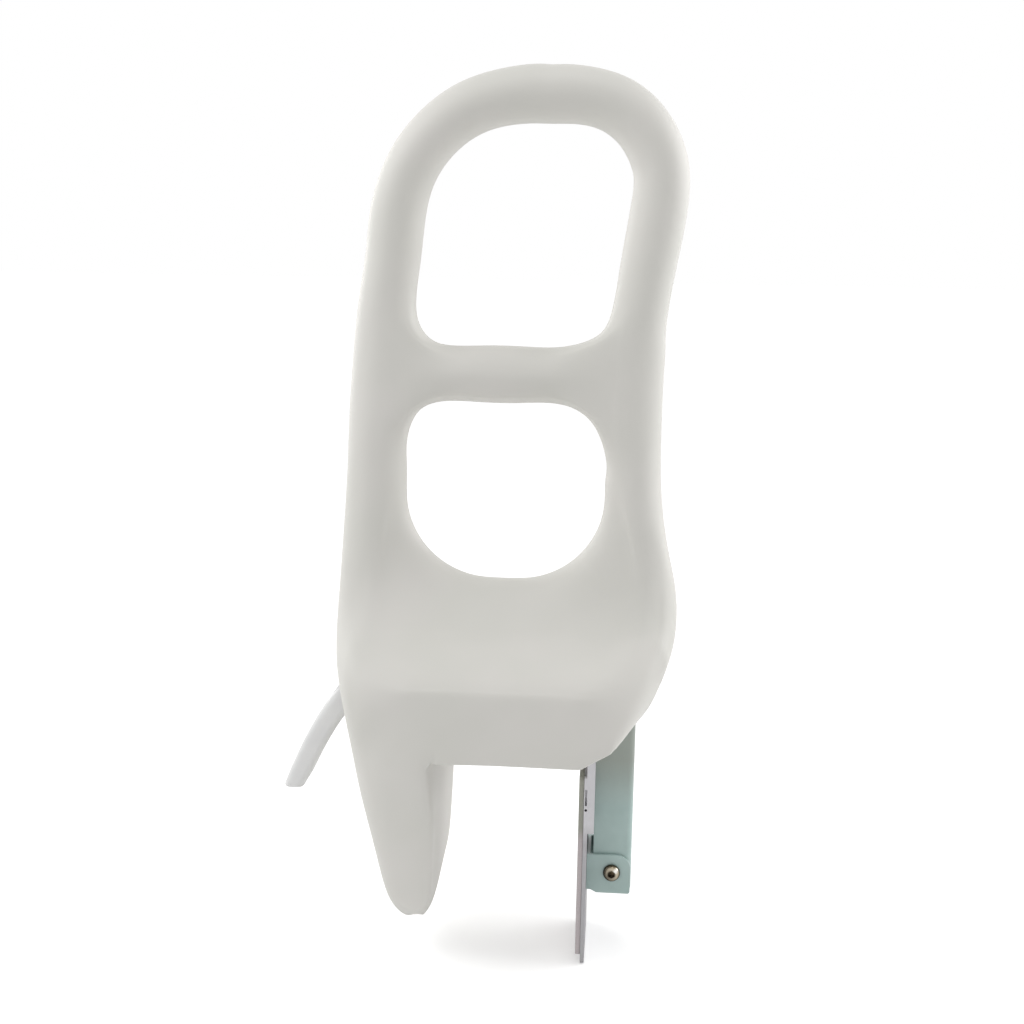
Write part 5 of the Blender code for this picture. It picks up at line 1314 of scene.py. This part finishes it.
front = PAD_FACE_X + PAD_THICKNESS + CLEARANCE
back = front + PLATE_THICKNESS
half = PLATE_WIDTH / 2
outline = sheet_outline(-half, half, PLATE_BOTTOM_Z, PLATE_TOP_Z)
plate = new_piece("plate", slab(outline, "X", front, back))
top = PLATE_TOP_Z - PLATE_CORNER
drawn = [(front, top, 0), (front, FLANGE_BOTTOM_Z, 0)]
drawn.append((FLANGE_RIGHT_X, FLANGE_BOTTOM_Z, FLANGE_CORNER))
drawn.append((FLANGE_RIGHT_X, FLANGE_TOP_Z, FLANGE_CORNER))
drawn += [(FLANGE_EAR_X, FLANGE_TOP_Z, FLANGE_CORNER), (FLANGE_EAR_X, top, 0)]
for side in (-1, 1):
    near, far = sorted((side * (half - FLANGE_SHEET), side * half))
    combine(plate, slab(rounded_outline(drawn, 8), "Y", near, far), "UNION")
width, height = FLANGE_SLOT
middle = (front + back) / 2
hole = FLANGE_HOLE_DIAMETER / 2
for side in (-1, 1):
    near, far = sorted((side * (half - FLANGE_SLOT_DEPTH), side * (half + FLANGE_SHEET)))
    low = (middle - width / 2, near, FLANGE_SLOT_TOP_Z - height)
    combine(plate, box(low, (middle + width / 2, far, FLANGE_SLOT_TOP_Z)))
    drill(plate, "Y", (middle, FLANGE_HOLE_Z), hole, near, far, sides=24)
bore = STUD_DIAMETER / 2 + CLEARANCE
for z in STUD_ZS:
    drill(plate, "X", (0.0, z), bore, front - bore, back + bore, sides=40)
round_edges(plate, PLATE_EDGE)
settle(plate)
plate.data.materials.append(zinc)
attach(plate, "plate")
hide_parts("clamp_plate")

# Plate pad
# A sheet of grey rubber, a little smaller than the plate, that keeps the metal off the bath. Two
# nylon studs hold it, their heads sunk below its face.
PAD_SQUEEZE = 0.8 * CLEARANCE  # the studs draw it against the plate
PAD_EDGE = 0.0005
low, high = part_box("plate_pad")
high.x += PAD_SQUEEZE
pad = new_piece("pad", slab(sheet_outline(low.y, high.y, low.z, high.z), "X", low.x, high.x))
rim = STUD_HEAD_DIAMETER / 2 + CLEARANCE
floor_x = low.x + STUD_SUNK + STUD_HEAD_HEIGHT + CLEARANCE
profile = [(low.x - rim, rim), (floor_x, rim), (floor_x, bore), (high.x + rim, bore)]
for z in STUD_ZS:
    combine(pad, turned(profile, "X", (0.0, z), sides=40))
round_edges(pad, PAD_EDGE, 3)
settle(pad)

# Moulded rubber: dull and slightly speckled, so it takes no clear highlight. Near its top it turns
# a darker yellow-grey: painted shade, where the base above shades the pad
PAD_UNSHADED_BELOW = -0.056
PAD_SHADED_ABOVE = -0.048
SPECK_SIZE = 0.001
rubber, tree, place = new_material("moulded_rubber")
speck, tint = mottled(tree, place, SPECK_SIZE, 3.0, (0.3, "#bbb3b4"), (0.7, "#c5bdbe"))
level = add_node(tree, "SeparateXYZ", Vector=(place, "Object"))
pad_shading = {"From_Min": PAD_UNSHADED_BELOW, "From_Max": PAD_SHADED_ABOVE}
painted_pad_shade = add_node(tree, "MapRange", Value=(level, "Z"), **pad_shading)
# a0a197 is the painted shade at the pad's top
tones = {"at_6": (tint, "Color"), "at_7": srgb("#a0a197")}
shade = add_node(tree, "Mix", colour_mix, at_0=(painted_pad_shade, 0), **tones)
patch = add_node(tree, "MapRange", Value=(speck, "Fac"), To_Min=0.62, To_Max=0.85)
surface = {"Base_Color": (shade, 2), "Roughness": (patch, 0)}
shader = add_node(tree, "BsdfPrincipled", IOR=1.52, **surface)
add_node(tree, "OutputMaterial", Surface=(shader, 0))
pad.data.materials.append(rubber)
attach(pad, "plate")
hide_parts("plate_pad")

# Pad studs
# Nylon push-in studs with flat round heads.
STUD_ROUND = 0.0006
for k, z in enumerate(STUD_ZS):
    name = f"pad_stud_{k + 1}"
    low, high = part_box(name)
    rim = (high.y - low.y) / 2
    shank = STUD_DIAMETER / 2
    under = low.x + STUD_HEAD_HEIGHT
    profile = [
        (low.x + STUD_ROUND * (1 - rise), rim - STUD_ROUND * inward) for rise, inward in quarter(6)
    ]
    profile = profile[::-1] + [(under, rim), (under, shank)]
    profile += [(high.x - shank / 2, shank), (high.x, shank / 2)]
    stud = new_piece(f"{name}_looks", turned(profile, "X", (0.0, z), sides=48), nylon)
    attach(stud, "plate")
    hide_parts(name)

# Plate bracket
# A U of 2 mm steel sheet in the arm's enamel, on the plate's back. It straddles the arm, and its
# lower corners are cut back beside the plate.
BRACKET_SHEET = 0.002
BRACKET_RIGHT_X = 0.0935
BRACKET_TOP_Z = -0.0700
BRACKET_BOTTOM_Z = -0.0945
BRACKET_TOP_CORNER = 0.0085
BRACKET_LOW_CORNER = 0.0015
BRACKET_STEP = (0.0062, 0.0019)  # cut-back corner at the plate, along X and Z
BRACKET_STEP_ROUNDS = (0.8, 0.5)  # of its height
BRACKET_GAP = 0.2 * CLEARANCE  # it sits tight against the plate
BRACKET_EDGE = 0.0007  # its cut edges are well rounded
left = back + BRACKET_GAP
outer = ARM_WIDTH / 2 + CLEARANCE + BRACKET_SHEET
along, up = BRACKET_STEP
drawn = [(left, BRACKET_TOP_Z, 0), (left, BRACKET_BOTTOM_Z + up, 0)]
drawn.append((left + along - 2 * up, BRACKET_BOTTOM_Z + up, up * BRACKET_STEP_ROUNDS[0]))
drawn.append((left + along, BRACKET_BOTTOM_Z, up * BRACKET_STEP_ROUNDS[1]))
drawn.append((BRACKET_RIGHT_X, BRACKET_BOTTOM_Z, BRACKET_LOW_CORNER))
drawn.append((BRACKET_RIGHT_X, BRACKET_TOP_Z, BRACKET_TOP_CORNER))
bracket = new_piece("bracket", slab(rounded_outline(drawn, 12), "Y", -outer, outer), enamel)
inner = outer - BRACKET_SHEET
low = (left + BRACKET_SHEET, -inner, BRACKET_BOTTOM_Z - BRACKET_SHEET)
high = (BRACKET_RIGHT_X + BRACKET_SHEET, inner, BRACKET_TOP_Z + BRACKET_SHEET)
combine(bracket, box(low, high))
drill(bracket, "Y", PIVOT, BOLT_DIAMETER / 2 + CLEARANCE, -ARM_WIDTH, ARM_WIDTH, sides=40)
round_edges(bracket, BRACKET_EDGE, 4)
settle(bracket)
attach(bracket, "plate")
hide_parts("plate_bracket")
